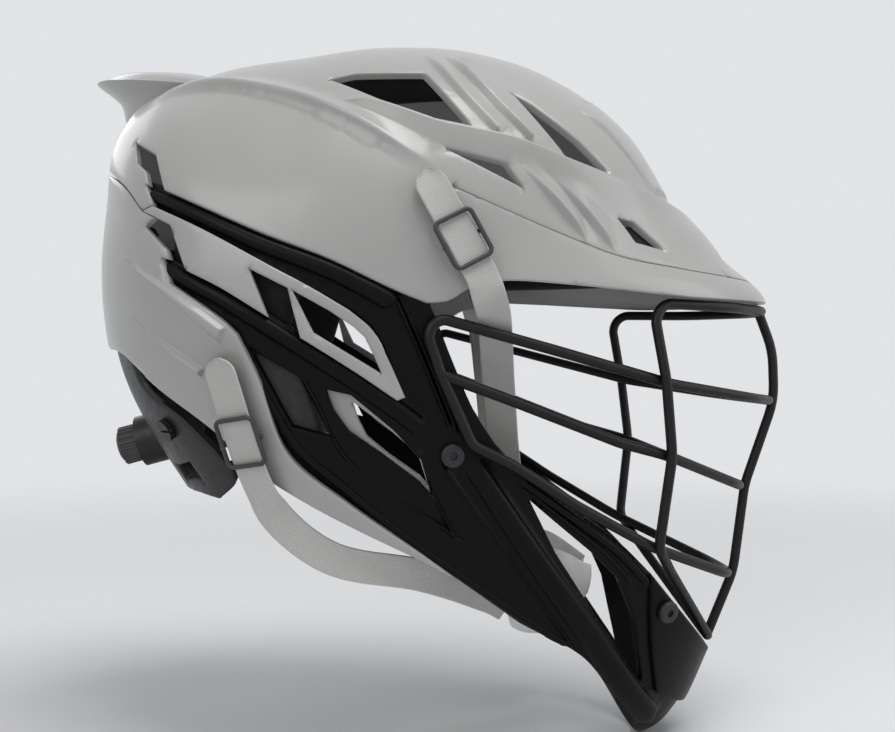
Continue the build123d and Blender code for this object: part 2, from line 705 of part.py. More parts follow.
def strap(end):
    stations = strap_route(end)
    places = [station[0] for station in stations]
    looks = [station[1] for station in stations]
    points = []
    faces = []
    for spot in range(len(places) - 1):
        steps = 1 if spot < 2 else STRAP_STEPS
        for step in range(steps):
            points.append(blend(places, spot, step / steps))
            faces.append(blend(looks, spot, step / steps))
    points.append(places[-1])
    faces.append(looks[-1])
    sections = []
    for i in range(len(points)):
        run = points[min(i + 1, len(points) - 1)] - points[max(i - 1, 0)]
        if i in (1, 2):
            run = points[2] - points[1]
        across = run.cross(faces[i]).normalized() * (STRAP_WIDTH / 2)
        rise = across.cross(run).normalized() * (STRAP_THICK / 2)
        corners = [across + rise, across - rise, -across - rise, -across + rise]
        sections.append(Wire.make_polygon([points[i] + corner for corner in corners]))
    return Solid.make_loft(sections, ruled=True)


def strap_plane(end, share):
    """A plane on the straight run of a strap, at a share of that run."""
    stations = strap_route(end)
    start, look = stations[1]
    run = stations[2][0] - start
    return Plane(start + run * share, x_dir=run, z_dir=run.cross(look).cross(run))


def slider(end):
    rail_place = STRAP_WIDTH / 2 + SLIDER_GAP + SLIDER_WIRE / 2
    rise = STRAP_THICK / 2 + SLIDER_GAP + SLIDER_WIRE / 2
    body = Pos(0, 0, -rise) * Box(SLIDER_WIRE, 2 * rail_place, SLIDER_WIRE)
    for side in (-1, 1):
        body += Pos(0, side * rail_place, 0) * Box(SLIDER_LENGTH, SLIDER_WIRE, 2 * rise + SLIDER_WIRE)
        bar = Box(SLIDER_WIRE, 2 * rail_place, SLIDER_WIRE)
        body += Pos(side * (SLIDER_LENGTH - SLIDER_WIRE) / 2, 0, rise) * bar
    outer = body.edges().filter_by(Axis.Z).group_by(lambda edge: abs(edge.center().Y))[-1]
    body = fillet(outer, SLIDER_WIRE / 3)
    return whole(strap_plane(end, SLIDER_PLACE_SHARE) * body)


def rod(plane, radius, start, stop):
    """A round bar on a plane's axis between two heights."""
    return plane * extrude(Pos(0, 0, start) * Circle(radius), stop - start)


def stud_plane(end):
    first, second = STRAP_SHELL_SHARES[end][:2]
    share = tuple(a + (b - a) * STUD_PLACE_SHARE for a, b in zip(first, second))
    return form_plane(share, 0)


def strap_stud(end):
    plane = stud_plane(end)
    inside = -SHELL_WALL - FIT_GAP
    top = STRAP_RISE + STRAP_BOW[end] - STRAP_THICK / 2 - SLIDER_GAP
    body = rod(plane, STUD_HEAD_RADIUS, FIT_GAP, top)
    body += rod(plane, STUD_SHANK_RADIUS, inside - STUD_FLANGE_WALL, top)
    body += rod(plane, STUD_FLANGE_RADIUS, inside - STUD_FLANGE_WALL, inside)
    return whole(body)


# Chin cup


def cup_layer(inset, wall, runs):
    place = Pos(CUP_CENTRE_SHARE[0] * FORM_LENGTH, 0, CUP_CENTRE_SHARE[1] * FORM_HEIGHT)
    sizes = (CUP_LENGTH / 2, CUP_WIDTH / 2, CUP_HEIGHT / 2)
    outer = scale(Sphere(1), by=tuple(size - inset for size in sizes))
    inner = scale(Sphere(1), by=tuple(size - inset - wall for size in sizes))
    return whole((place * (outer - inner)) & through(outline(*runs)))


# Screws


def screw(share, depth, wall):
    """A button-headed screw that stands on a wall of the right side."""
    plane = form_plane(share, depth)
    body = rod(plane, SCREW_HEAD_RADIUS, FIT_GAP, FIT_GAP + SCREW_HEAD_WALL)
    rim = body.edges().filter_by(GeomType.CIRCLE).sort_by_distance(plane.origin)[-1]
    body = fillet(rim, SCREW_HEAD_WALL / 2)
    body += rod(plane, SCREW_SHANK_RADIUS, -wall - SCREW_END, FIT_GAP + SCREW_HEAD_WALL / 2)
    top = FIT_GAP + SCREW_HEAD_WALL
    socket = extrude(Pos(0, 0, top) * RegularPolygon(SCREW_SOCKET_RADIUS, 6), -SCREW_HEAD_WALL / 2)
    return whole(body - plane * socket)


def cradle_stud():
    plane = form_plane(CRADLE_STUD_SHARE, LINER_DEPTH)
    top = FIT_GAP + SCREW_HEAD_WALL
    body = rod(plane, SCREW_HEAD_RADIUS, FIT_GAP, top)
    body += rod(plane, SCREW_SHANK_RADIUS, -CRADLE_WALL - SCREW_END, top)
    slot = Pos(0, 0, top) * Box(2 * SCREW_HEAD_RADIUS, SLOT_WIDTH, SCREW_HEAD_WALL)
    return whole(body - plane * slot)


# Rear fit cradle and its dial


def fit_cradle():
    face = outline(*CRADLE_SHARES)
    cradle = moulding(through(face), LINER_DEPTH, CRADLE_WALL)
    cradle = cradle - through(polygon(CRADLE_SLOT_SHARES))
    return whole(cradle - pins(form_plane(CRADLE_STUD_SHARE, LINER_DEPTH), SCREW_SHANK_RADIUS))


def dial_plane():
    tilt = math.radians(DIAL_TILT)
    return Plane(at(DIAL_PLACE_SHARE), x_dir=(0, 1, 0), z_dir=(-math.cos(tilt), 0, -math.sin(tilt)))


def dial_housing():
    body = rod(dial_plane(), HOUSING_RADIUS, -HOUSING_RADIUS, HOUSING_RISE)
    body -= form(LINER_DEPTH - FIT_GAP)
    return whole(body - rod(dial_plane(), SPINDLE_RADIUS + FIT_GAP, HOUSING_RISE - SPINDLE_LENGTH, OVERRUN))


def fit_dial():
    plane = dial_plane()
    start = HOUSING_RISE + FIT_GAP
    stop = start + DIAL_LENGTH
    section = Circle(DIAL_RADIUS) - PolarLocations(DIAL_RADIUS, DIAL_FLUTES) * Circle(FLUTE_RADIUS)
    body = plane * extrude(Pos(0, 0, start) * section, DIAL_LENGTH)
    body += rod(plane, SPINDLE_RADIUS, start + FIT_GAP - SPINDLE_LENGTH, start + FIT_GAP)
    return whole(body - rod(plane, CAP_RADIUS + FIT_GAP, stop - CAP_SINK, stop + OVERRUN))


def dial_cap():
    start = HOUSING_RISE + FIT_GAP + DIAL_LENGTH - CAP_SINK + FIT_GAP
    body = rod(dial_plane(), CAP_RADIUS, start, start + CAP_WALL)
    rim = body.edges().sort_by_distance(dial_plane().origin)[-1]
    return whole(fillet(rim, CAP_WALL / 3))


def pins(plane, radius):
    """Bars through both side walls where a screw or a stud passes."""
    pin = rod(plane, radius + FIT_GAP, -OVERRUN / 2, OVERRUN / 2)
    return pin + mirrored(pin)


def build():
    """Every sub-part by name."""
    shell_layer = layer(0, SHELL_WALL)
    ridge_layer = layer(-RIDGE_RISE, RIDGE_RISE + RIDGE_ROOT)
    crown = crown_shell(shell_layer, ridge_layer)
    rear = rear_shell(shell_layer, ridge_layer)
    crown = crown - pins(stud_plane("front"), STUD_SHANK_RADIUS)
    rear = rear - pins(stud_plane("rear"), STUD_SHANK_RADIUS)
    rib_wall = FRAME_DEPTH + RIDGE_ROOT - ARM_RIB_DEPTH
    frame = jaw_frame(layer(FRAME_DEPTH, FRAME_WALL), layer(ARM_RIB_DEPTH, rib_wall))
    chin_depth = FRAME_DEPTH - FIT_GAP - CHIN_PLATE_WALL
    chin_pins = pins(form_plane(CHIN_SCREW_SHARE, chin_depth), SCREW_SHANK_RADIUS)
    frame = frame - pins(form_plane(JAW_SCREW_SHARE, FRAME_DEPTH), SCREW_SHANK_RADIUS) - chin_pins
    front_block = through(polygon(FRONT_PAD_SHARES))
    rear_block = through(polygon(REAR_PAD_SHARES))
    occipital_block = through(polygon(OCCIPITAL_PAD_SHARES))
    occipital_depth = LINER_DEPTH + CRADLE_WALL + FIT_GAP
    jaw_screw = screw(JAW_SCREW_SHARE, FRAME_DEPTH, FRAME_WALL)
    chin_screw = screw(CHIN_SCREW_SHARE, chin_depth, CHIN_PLATE_WALL + FRAME_WALL)
    stud = cradle_stud()
    snaps = [strap_stud(end) for end in ("front", "rear")]
    nodes = {
        "crown_shell": whole(crown),
        "visor": whole(shell_layer & through(visor_face())),
        "rear_shell": whole(rear),
        "jaw_frame": whole(frame),
        "chin_plate": whole(chin_plate() - chin_pins),
        "crown_liner": crown_pad(),
        "front_pad": moulding(front_block, LINER_DEPTH, LINER_WALL),
        "rear_pad": moulding(rear_block, LINER_DEPTH, LINER_WALL),
        "face_guard": face_guard(),
        "strap_studs": Compound(snaps + [mirrored(snap) for snap in snaps]),
        "chin_cup": cup_layer(0, CUP_WALL, CUP_SHARES),
        "chin_cup_pad": cup_layer(CUP_WALL + FIT_GAP, CUP_PAD_WALL, CUP_PAD_SHARES),
        "jaw_screws": Compound([jaw_screw, mirrored(jaw_screw)]),
        "chin_screws": Compound([chin_screw, mirrored(chin_screw)]),
        "fit_cradle": fit_cradle(),
        "occipital_pad": moulding(occipital_block, occipital_depth, OCCIPITAL_PAD_WALL),
        "dial_housing": dial_housing(),
        "fit_dial": fit_dial(),
        "dial_cap": dial_cap(),
        "cradle_studs": Compound([stud, mirrored(stud)]),
    }
    right_pieces = {
        "side_band": side_band(shell_layer),
        "window_rim": window_rim(),
        "side_pad": side_pad(SIDE_PAD_SHARES),
        "ear_pad": side_pad(EAR_PAD_SHARES),
        "strap_front": strap("front"),
        "strap_rear": strap("rear"),
        "slider_front": slider("front"),
        "slider_rear": slider("rear"),
    }
    for name, solid in right_pieces.items():
        nodes[name + "_right"] = solid
        nodes[name + "_left"] = mirrored(solid)
    return nodes


def main():
    os.makedirs("parts", exist_ok=True)
    for name, shape in build().items():
        export_step(shape, f"parts/{name}.step")


main()
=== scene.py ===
import math

import bmesh
import bpy
import numpy as np
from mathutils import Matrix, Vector
from mathutils.geometry import delaunay_2d_cdt


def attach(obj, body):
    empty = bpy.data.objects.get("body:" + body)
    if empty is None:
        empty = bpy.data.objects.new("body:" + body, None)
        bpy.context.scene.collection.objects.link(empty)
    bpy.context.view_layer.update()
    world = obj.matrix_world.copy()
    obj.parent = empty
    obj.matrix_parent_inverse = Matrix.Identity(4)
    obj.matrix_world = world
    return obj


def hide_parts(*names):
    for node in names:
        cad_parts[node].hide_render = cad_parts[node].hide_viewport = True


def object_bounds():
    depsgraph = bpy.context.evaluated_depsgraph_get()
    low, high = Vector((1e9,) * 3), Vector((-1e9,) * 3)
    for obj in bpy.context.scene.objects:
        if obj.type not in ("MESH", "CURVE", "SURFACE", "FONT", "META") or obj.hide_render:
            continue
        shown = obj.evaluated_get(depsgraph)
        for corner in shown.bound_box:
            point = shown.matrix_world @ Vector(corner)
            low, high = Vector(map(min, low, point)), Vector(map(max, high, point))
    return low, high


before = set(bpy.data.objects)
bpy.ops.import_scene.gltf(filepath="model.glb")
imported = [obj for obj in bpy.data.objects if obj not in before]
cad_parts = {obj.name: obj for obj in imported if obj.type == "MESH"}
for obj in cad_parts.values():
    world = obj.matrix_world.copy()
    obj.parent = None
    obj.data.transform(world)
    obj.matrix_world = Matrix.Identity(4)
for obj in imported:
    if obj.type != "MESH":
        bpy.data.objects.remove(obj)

# A lacrosse helmet, in metres: +X towards the face, +Z up, the right side at -Y.
# Side outlines are shares of the form's length (x) and height (z), as in the CAD source.
# Places off the middle plane are shares of the length, the half width and the height.

CAD_BOX = [list(corner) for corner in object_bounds()]
MM = 0.001

# The head form
FORM_LENGTH = 290 * MM
FORM_HEIGHT = 333 * MM
FORM_HALF_WIDTH = 108 * MM
FORM_CENTRE_SHARE = (-0.086, 0.090)
FORM_SHARES = [
    (0.778, -0.140, 1.6), (0.766, 0.006, 1.75), (0.700, 0.061, 1.85), (0.657, 0.098, 1.9),
    (0.606, 0.143, 2.0), (0.529, 0.250, 2.1), (0.400, 0.333, 2.2), (0.269, 0.370, 2.2),
    (0.134, 0.377, 2.2), (-0.014, 0.361, 2.2), (-0.167, 0.336, 2.2), (-0.275, 0.300, 2.2),
    (-0.330, 0.235, 2.3), (-0.344, 0.142, 2.4), (-0.353, 0.046, 2.4), (-0.343, -0.057, 2.4),
    (-0.226, -0.270, 2.0), (-0.034, -0.450, 1.8), (0.207, -0.589, 1.5), (0.448, -0.643, 1.3),
    (0.569, -0.640, 1.3), (0.621, -0.601, 1.3), (0.669, -0.517, 1.3), (0.741, -0.339, 1.4),
]

# Walls, depths and gaps
SHELL_WALL = 3.2 * MM
FIT_GAP = 0.3 * MM
SEAM = 0.5 * MM
TUCK = 2 * MM
FRAME_WALL = 3.5 * MM
FRAME_DEPTH = SHELL_WALL + FIT_GAP
RIM_WALL = 2.6 * MM
CHIN_PLATE_WALL = 2.5 * MM
INNER_DEPTH = FRAME_DEPTH + FRAME_WALL + FIT_GAP
RIDGE_RISE = 2.6 * MM
EDGE_ROUND = 0.8 * MM
EDGE_SHARE = 0.2
RIDGE_SLOPE = 1.4 * MM
CREASE_ROUND = 0.4

# Meshes: the spacing of a moulding's places and the shares of it on narrow pieces, rings of
# places beside an edge in shares of its rounding, shares that keep places apart, the sharp angle
GRID = 2.3 * MM
NARROW_GRID = 0.8 * GRID
RIM_GRID = 0.7 * GRID
CUP_GRID = 0.6 * GRID
DISC_SCALE_SHARE = 1.15
RING_SHARES = (0.12, 0.4, 1)
RING_KEEP_SHARE = 0.8
GUIDE_KEEP_SHARE = 1.2
LATTICE_KEEP_SHARE = 0.45
CLEAR_SHARE = 0.55
SEAM_REACH = 3e-4
CREASE_GUIDE_SHARES = (-0.45, -0.22, 0, 0.15, 0.3, 0.45, 0.8, 1, 1.2)
ROLL_GUIDE_SHARES = (-1.05, -0.96, -0.8, -0.5, 0, 0.5, 0.8, 0.96, 1.05)
SHARP_ANGLE = 78
SWEPT_SHARP_ANGLE = 60
TINY = 1e-9
TINY_AREA = 1e-12
WELD_GAP = 1e-6

# How far outlines run past the form
FRONT_LIMIT_SHARE = 0.800
TOP_LIMIT_SHARE = 0.600
REAR_LIMIT_SHARE = -0.520

# Side edges that neighbouring pieces share
REAR_LIP_SHARES = [(-0.448, 0.291), (-0.355, 0.240), (-0.314, 0.201)]
UPPER_ARM_TOP_SHARES = [
    (-0.309, 0.235), (-0.273, 0.223), (-0.216, 0.200), (-0.129, 0.166), (-0.031, 0.133),
    (0.056, 0.097), (0.110, 0.078),
]
UPPER_ARM_LOW_SHARES = [
    (-0.294, 0.206), (-0.211, 0.170), (-0.109, 0.122), (-0.057, 0.098), (-0.001, 0.069),
]
PILLAR_REAR_SHARES = [(-0.001, 0.069), (0.031, 0.045), (0.050, 0.015), (0.078, -0.040)]
LOWER_ARM_TOP_SHARES = [
    (-0.277, 0.137), (-0.237, 0.119), (-0.180, 0.094), (-0.068, 0.033), (0.008, -0.009),
    (0.066, -0.044),
]
LOWER_ARM_LOW_SHARES = [(-0.264, 0.104), (-0.187, 0.059), (-0.162, 0.039)]
JAW_TOP_SHARES = [
    (-0.162, 0.039), (-0.132, -0.017), (-0.093, -0.113), (-0.006, -0.178), (0.097, -0.243),
    (0.152, -0.280),
]
JAW_FRONT_SHARES = [(0.248, -0.344), (0.358, -0.404), (0.480, -0.560)]
REAR_HEM_SHARES = [
    (0.097, -0.253), (0.009, -0.214), (-0.074, -0.175), (-0.152, -0.131), (-0.204, -0.086),
    (-0.295, -0.030), (-0.355, 0.011), (-0.383, 0.021), (-0.441, 0.024),
]
VENT_EDGE_SHARES = [(-0.291, 0.190), (-0.307, 0.180), (-0.268, 0.147), (-0.263, 0.134)]
BAND_REAR_SHARES = [(-0.240, 0.123), (-0.264, 0.178), (-0.291, 0.190)]
FRONT_CORNER_SHARES = [(0.140, 0.081), (0.169, 0.096), (0.195, 0.100)]
CREASE_SHARES = [
    (0.145, 0.226), (0.225, 0.198), (0.309, 0.170), (0.400, 0.144), (0.499, 0.132),
    (0.600, 0.124), (0.760, 0.117),
]
BRIM_SHARES = [
    (0.760, 0.092), (0.527, 0.092), (0.444, 0.097), (0.302, 0.106), (0.221, 0.108),
    (0.198, 0.100),
]
VENT_SHARES = {
    "rear_top": [
        (-0.041, 0.380), (-0.001, 0.389), (0.105, 0.390), (0.174, 0.311), (0.122, 0.319),
        (0.038, 0.346),
    ],
    "front_top": [(0.238, 0.364), (0.269, 0.349), (0.340, 0.302), (0.390, 0.260), (0.317, 0.278)],
    "side": [(0.137, 0.277), (0.225, 0.261), (0.253, 0.227), (0.149, 0.271)],
    "brow": [(0.401, 0.197), (0.425, 0.193), (0.477, 0.156), (0.427, 0.165)],
    "rear_slot": [
        (-0.338, 0.297), (-0.296, 0.274), (-0.272, 0.215), (-0.301, 0.225), (-0.311, 0.253),
        (-0.329, 0.266),
    ],
}
BAND_WINDOW_SHARES = {
    "liner_window": [(-0.143, 0.120), (-0.088, 0.096), (-0.068, 0.025), (-0.112, 0.050)],
    "side_window": [
        (-0.081, 0.093), (-0.031, 0.069), (0.005, 0.048), (0.021, 0.035), (0.032, 0.015),
        (0.044, -0.010), (-0.052, 0.041),
    ],
}

# Raised edges of the crown: the high line, the line where its slope ends, its rise, its drop,
# and the pairs of length shares between which it grows from nothing to full
LEDGE_SHARES = [(-0.260, 0.398), (-0.150, 0.388), (-0.022, 0.345), (0.061, 0.313), (0.137, 0.279)]
CROWN_CREASES = [
    (
        [
            (-0.022, 0.345), (0.050, 0.330), (0.119, 0.3095), (0.174, 0.301), (0.237, 0.291),
            (0.317, 0.268), (0.388, 0.251), (0.473, 0.230), (0.560, 0.210),
        ],
        [
            (-0.024, 0.341), (0.061, 0.309), (0.137, 0.277), (0.226, 0.262), (0.260, 0.260),
            (0.306, 0.236), (0.389, 0.201), (0.476, 0.159), (0.601, 0.124),
        ],
        3.8 * MM, 1.8 * MM, [(-0.024, 0.020)],
    ),
    (
        [
            (-0.350, 0.356), (-0.300, 0.372), (-0.220, 0.376), (-0.155, 0.364), (-0.079, 0.343),
            (-0.005, 0.312), (0.081, 0.270), (0.130, 0.249),
        ],
        LEDGE_SHARES, 4.8 * MM, 2.8 * MM, [(0.130, 0.000), (-0.350, -0.230)],
    ),
    (
        [(0.101, 0.427), (0.157, 0.358), (0.210, 0.304)],
        [(0.130, 0.425), (0.198, 0.350), (0.255, 0.298)], 2.8 * MM, 1.3 * MM, [(0.098, 0.130)],
    ),
    (
        [(0.136, 0.425), (0.204, 0.350), (0.261, 0.297)],
        [(0.208, 0.400), (0.262, 0.340), (0.315, 0.282)], 3.2 * MM, 1.3 * MM, [(0.132, 0.165)],
    ),
    (
        [(0.245, 0.262), (0.298, 0.213), (0.346, 0.165)],
        [(0.280, 0.258), (0.333, 0.206), (0.382, 0.155)], 2.8 * MM, 1.3 * MM,
        [(0.243, 0.305), (0.352, 0.325)],
    ),
    (
        [(0.286, 0.256), (0.339, 0.206), (0.388, 0.155)],
        [(0.362, 0.222), (0.396, 0.188), (0.425, 0.158)], 3.0 * MM, 1.3 * MM,
        [(0.284, 0.350), (0.395, 0.370)],
    ),
    (
        [(0.330, 0.365), (0.385, 0.329), (0.430, 0.287), (0.468, 0.245)],
        [(0.400, 0.385), (0.470, 0.330), (0.535, 0.250)], 2.0 * MM, 1.4 * MM, [(0.325, 0.380)],
    ),
]
REAR_FIN_SHARES = [
    [
        (-0.351, 0.143), (-0.277, 0.107), (-0.219, 0.074), (-0.176, 0.047), (-0.186, 0.028),
        (-0.250, 0.075), (-0.298, 0.106),
    ],
    [(-0.335, 0.066), (-0.268, 0.028), (-0.212, -0.003), (-0.217, -0.015), (-0.261, 0.014)],
]

# Spoiler at the back of the crown
WING_SHARES = [
    (-0.462, 0.418), (-0.412, 0.431), (-0.290, 0.420), (-0.310, 0.372), (-0.405, 0.352),
    (-0.421, 0.388),
]
WING_HALF_SPAN = 62 * MM
WING_SWEEP = 74 * MM
WING_DROP = 14 * MM
WING_SHRINK_SHARE = 0.84
WING_STEP = 2 * MM
WING_SLICES = 41

# The black jaw frame
PILLAR_FRONT_SHARES = [(0.124, 0.055), (0.144, 0.010), (0.176, -0.055), (0.207, -0.098)]
CHIN_BAR_TOP_SHARES = [(0.245, -0.134), (0.333, -0.191), (0.402, -0.236), (0.459, -0.285)]
CHIN_TIP_SHARE = (0.612, -0.446)
CHIN_NOSE_SHARE = (0.660, -0.640)
FRAME_WINDOW_SHARES = {
    "jaw_window": [
        (-0.036, -0.030), (-0.026, -0.056), (-0.004, -0.084), (0.043, -0.113), (0.098, -0.150),
        (0.116, -0.168), (0.100, -0.120), (0.060, -0.082), (-0.001, -0.037),
    ],
    "ear_window": [(-0.146, 0.022), (-0.075, -0.014), (-0.030, -0.090), (-0.086, -0.078)],
    "chin_window": [
        (0.262, -0.176), (0.300, -0.205), (0.360, -0.250), (0.405, -0.290), (0.432, -0.345),
        (0.452, -0.445), (0.376, -0.348), (0.303, -0.248),
    ],
}
# Beads of the frame: the line, the half widths at its ends and the rise
FRAME_BEADS = [
    (
        [
            (-0.296, 0.219), (-0.273, 0.210), (-0.216, 0.187), (-0.129, 0.152), (-0.031, 0.119),
            (0.030, 0.093), (0.052, 0.082),
        ],
        (2.6 * MM, 4.2 * MM), 3.9 * MM,
    ),
    (
        [
            (-0.262, 0.122), (-0.237, 0.108), (-0.180, 0.082), (-0.068, 0.021), (0.008, -0.021),
            (0.066, -0.056), (0.090, -0.072),
        ],
        (2.8 * MM, 4.2 * MM), 3.9 * MM,
    ),
    ([(0.062, 0.086), (0.092, 0.028), (0.139, -0.074)], (0.9 * MM, 0.9 * MM), 1.6 * MM),
    ([(0.070, 0.086), (0.100, 0.028), (0.147, -0.074)], (0.9 * MM, 0.9 * MM), 1.6 * MM),
    (
        [
            (0.180, -0.134), (0.220, -0.187), (0.277, -0.262), (0.362, -0.368), (0.422, -0.446),
            (0.461, -0.491),
        ],
        (4.5 * MM, 6.4 * MM), 4.4 * MM,
    ),
    (
        [
            (-0.147, 0.000), (-0.121, -0.040), (-0.081, -0.101), (-0.019, -0.150), (0.067, -0.215),
            (0.157, -0.275), (0.249, -0.334), (0.312, -0.371),
        ],
        (1.7 * MM, 1.7 * MM), 2.2 * MM,
    ),
    (
        [
            (-0.065, -0.020), (-0.045, -0.055), (-0.022, -0.100), (0.013, -0.137),
            (0.111, -0.196), (0.146, -0.218),
        ],
        (0.7 * MM, 0.7 * MM), 1.3 * MM,
    ),
    ([(0.148, -0.220), (0.122, -0.172), (0.094, -0.112)], (0.7 * MM, 0.7 * MM), 1.3 * MM),
    ([(0.134, -0.134), (0.216, -0.236), (0.335, -0.383)], (0.7 * MM, 0.7 * MM), 1.2 * MM),
    (
        [(0.252, -0.151), (0.333, -0.203), (0.400, -0.249), (0.447, -0.292)],
        (2.2 * MM, 2.0 * MM), 2.6 * MM,
    ),
    (
        [(0.266, -0.170), (0.325, -0.211), (0.382, -0.252), (0.420, -0.290)],
        (1 * MM, 1 * MM), 1.4 * MM,
    ),
]
RIM_SHARES = [
    [
        (-0.046, -0.026), (-0.036, -0.060), (-0.010, -0.090), (0.040, -0.122), (0.096, -0.158),
        (0.126, -0.178),
    ],
    [(0.112, -0.118), (0.064, -0.074), (-0.001, -0.030)],
]
RIM_WINDOW_SHARES = [
    (0.001, -0.046), (0.008, -0.066), (0.021, -0.090), (0.055, -0.115), (0.098, -0.142),
    (0.110, -0.154), (0.096, -0.114), (0.052, -0.080),
]
CHIN_PLATE_SHARES = [
    [(0.640, -0.490)], [(0.540, -0.492), (0.478, -0.462)], [(0.466, -0.400), (0.460, -0.340)],
]

# Foam pads
LINER_DEPTH = SHELL_WALL + FIT_GAP
LINER_WALL = 11 * MM
SIDE_PAD_WALL = 12 * MM
PAD_ROUND = 4.5 * MM
CROWN_PAD_LENGTH = 146 * MM
CROWN_PAD_WIDTH = 70 * MM
CROWN_PAD_CENTRE_SHARE = 0.035
CROWN_PAD_STEPS = 80
HALVINGS = 40
PAST_MIDDLE_SHARE = 1.1
FRONT_PAD_SHARES = [
    (0.210, 0.130), (0.210, 0.215), (0.400, 0.190), (0.760, 0.190), (0.760, 0.130),
]
REAR_PAD_SHARES = [(-0.500, 0.055), (-0.500, 0.200), (-0.315, 0.185), (-0.335, 0.055)]
SIDE_PAD_SHARES = [
    (-0.260, 0.040), (-0.270, 0.175), (-0.150, 0.185), (-0.070, 0.110), (-0.095, 0.030),
]
EAR_PAD_SHARES = [
    (-0.185, 0.028), (-0.075, 0.002), (-0.040, -0.104), (-0.106, -0.118), (-0.178, -0.040),
]

# Face guard
GUARD_WIRE = 4.8 * MM
GUARD_WELD = 0.8 * MM
GUARD_BOW = 1 * MM
GUARD_DEPTH = FRAME_DEPTH - FIT_GAP - GUARD_BOW - GUARD_WIRE / 2
GUARD_BEND = 9 * MM
GUARD_SWEEP = 45 * MM
BEND_SHARE = 0.45
BEND_STEP = math.radians(6)
BEND_LEAST_STEPS = 3
WIRE_ROUNDNESS = 4
GUARD_UPRIGHT_SHARES = [(0.100, 0.066), (0.129, -0.011), (0.174, -0.100)]
GUARD_TOP_SHARES = [
    (0.293, 0.787, 0.021), (0.482, 0.583, -0.024), (0.631, 0.333, -0.045), (0.705, 0, -0.053),
]
GUARD_MIDDLE_SHARES = [
    (0.234, 0.815, -0.045), (0.401, 0.657, -0.102), (0.476, 0.574, -0.120), (0.696, 0, -0.198),
]
GUARD_LOW_SIDE_SHARES = [(0.234, -0.127), (0.334, -0.184)]
GUARD_LOW_SHARES = [(0.455, 0.537, -0.245), (0.678, 0, -0.330)]
GUARD_CROSSING_SHARES = {"top": 0.305, "middle": 0.290, "low": 0.300}
GUARD_BRIM_SHARES = [(0.451, 0.626, 0.084), (0.586, 0.444, 0.081), (0.703, 0, 0.080)]
GUARD_FOOT_SHARES = [(0.493, 0.417, -0.285), (0.594, 0, -0.415)]
GUARD_NOSE_SHARE = (0.698, 0, 0.024)

# Straps and sliders
STRAP_WIDTH = 14.5 * MM
STRAP_THICK = 1.4 * MM
SLIDER_WIRE = 2 * MM
SLIDER_LENGTH = 23 * MM
SLIDER_GAP = 0.5 * MM
STRAP_RISE = FIT_GAP + SLIDER_WIRE + SLIDER_GAP + STRAP_THICK / 2
STRAP_BOW = {"front": 1.3 * MM, "rear": 2.4 * MM}
STRAP_STEP = 1.5 * MM
STRAP_NEAREST = 0.1 * MM
STRAP_TIP_SHARE = 0.2
STRAP_SHELL_SHARES = {
    "front": [(0.105, 0.243), (0.122, 0.216), (0.186, 0.114)],
    "rear": [(-0.188, 0.009), (-0.179, -0.024), (-0.141, -0.144)],
}
STRAP_FREE_SHARES = {
    "front": [
        (0.198, 0.940, 0.084), (0.206, 0.861, 0.060), (0.216, 0.630, -0.030),
        (0.231, 0.491, -0.150), (0.269, 0.380, -0.264), (0.279, 0.363, -0.318),
    ],
    "rear": [
        (-0.103, 0.790, -0.204), (-0.028, 0.741, -0.252), (0.097, 0.630, -0.278),
        (0.207, 0.389, -0.324), (0.238, 0.321, -0.342),
    ],
}
SLIDER_PLACE_SHARE = 0.58
SLIDER_CORNER = 2.5 * MM
SLIDER_CORNER_STEPS = 6
SLIDER_BOW_SHARE = 0.7

# Half of the strap's upper outline, in shares of its half width and half thickness
STRAP_EDGE_SECTION = [(-1, 0), (-0.96, 0.8), (-0.9, 1), (-0.84, 0.75)]
# The slider's bar under the strap: across in shares of the rail's place, up in shares of the rise
SLIDER_BAR_SHARES = [
    (-0.97, 0.3), (-0.92, -0.8), (-0.86, -1), (-0.4, -1), (0, -1), (0.4, -1), (0.86, -1),
    (0.92, -0.8), (0.97, 0.3),
]

# Chin cup
CUP_CENTRE_SHARE = (0.290, -0.300)
CUP_HALF_SIZES = (29 * MM, 38 * MM, 33 * MM)
CUP_WALL = 2.4 * MM
CUP_PAD_WALL = 5 * MM
CUP_SHARES = [
    [(0.248, -0.390), (0.307, -0.387), (0.369, -0.336), (0.383, -0.291)],
    [(0.310, -0.258), (0.276, -0.285), (0.237, -0.345)],
]
CUP_PAD_SHARES = [
    [(0.262, -0.372), (0.305, -0.372), (0.352, -0.330)], [(0.318, -0.290), (0.280, -0.310)],
]
CUP_PAD_EDGE = 1 * MM
CUP_PAD_INNER_EDGE = 2 * MM

# Rear fit cradle
CRADLE_WALL = 3 * MM
CRADLE_SHARES = [
    [(-0.480, 0.042)],
    [(-0.352, 0.042)],
    [(-0.331, -0.024), (-0.262, -0.070), (-0.207, -0.114)],
    [(-0.180, -0.150), (-0.214, -0.180)],
    [(-0.276, -0.176), (-0.331, -0.198)],
    [(-0.480, -0.198)],
]
CRADLE_SLOT_SHARES = [(-0.262, -0.130), (-0.296, -0.140), (-0.280, -0.160), (-0.240, -0.158)]
OCCIPITAL_PAD_WALL = 9 * MM
OCCIPITAL_PAD_SHARES = [
    (-0.480, 0.024), (-0.352, 0.024), (-0.320, -0.060), (-0.310, -0.150), (-0.480, -0.150),
]

# Textures: the detail of most noise, and the range of its values that is used
NOISE_DETAIL = 3
NOISE_RANGE = (0.3, 0.7)

# Camera: where it stands, its sensor's width and its lens in millimetres, its nearest distance
CAMERA_PLACE = (40 * MM, -590 * MM, 0)
CAMERA_SENSOR = 36
CAMERA_LENS = 47.46
CAMERA_NEAR = 10 * MM

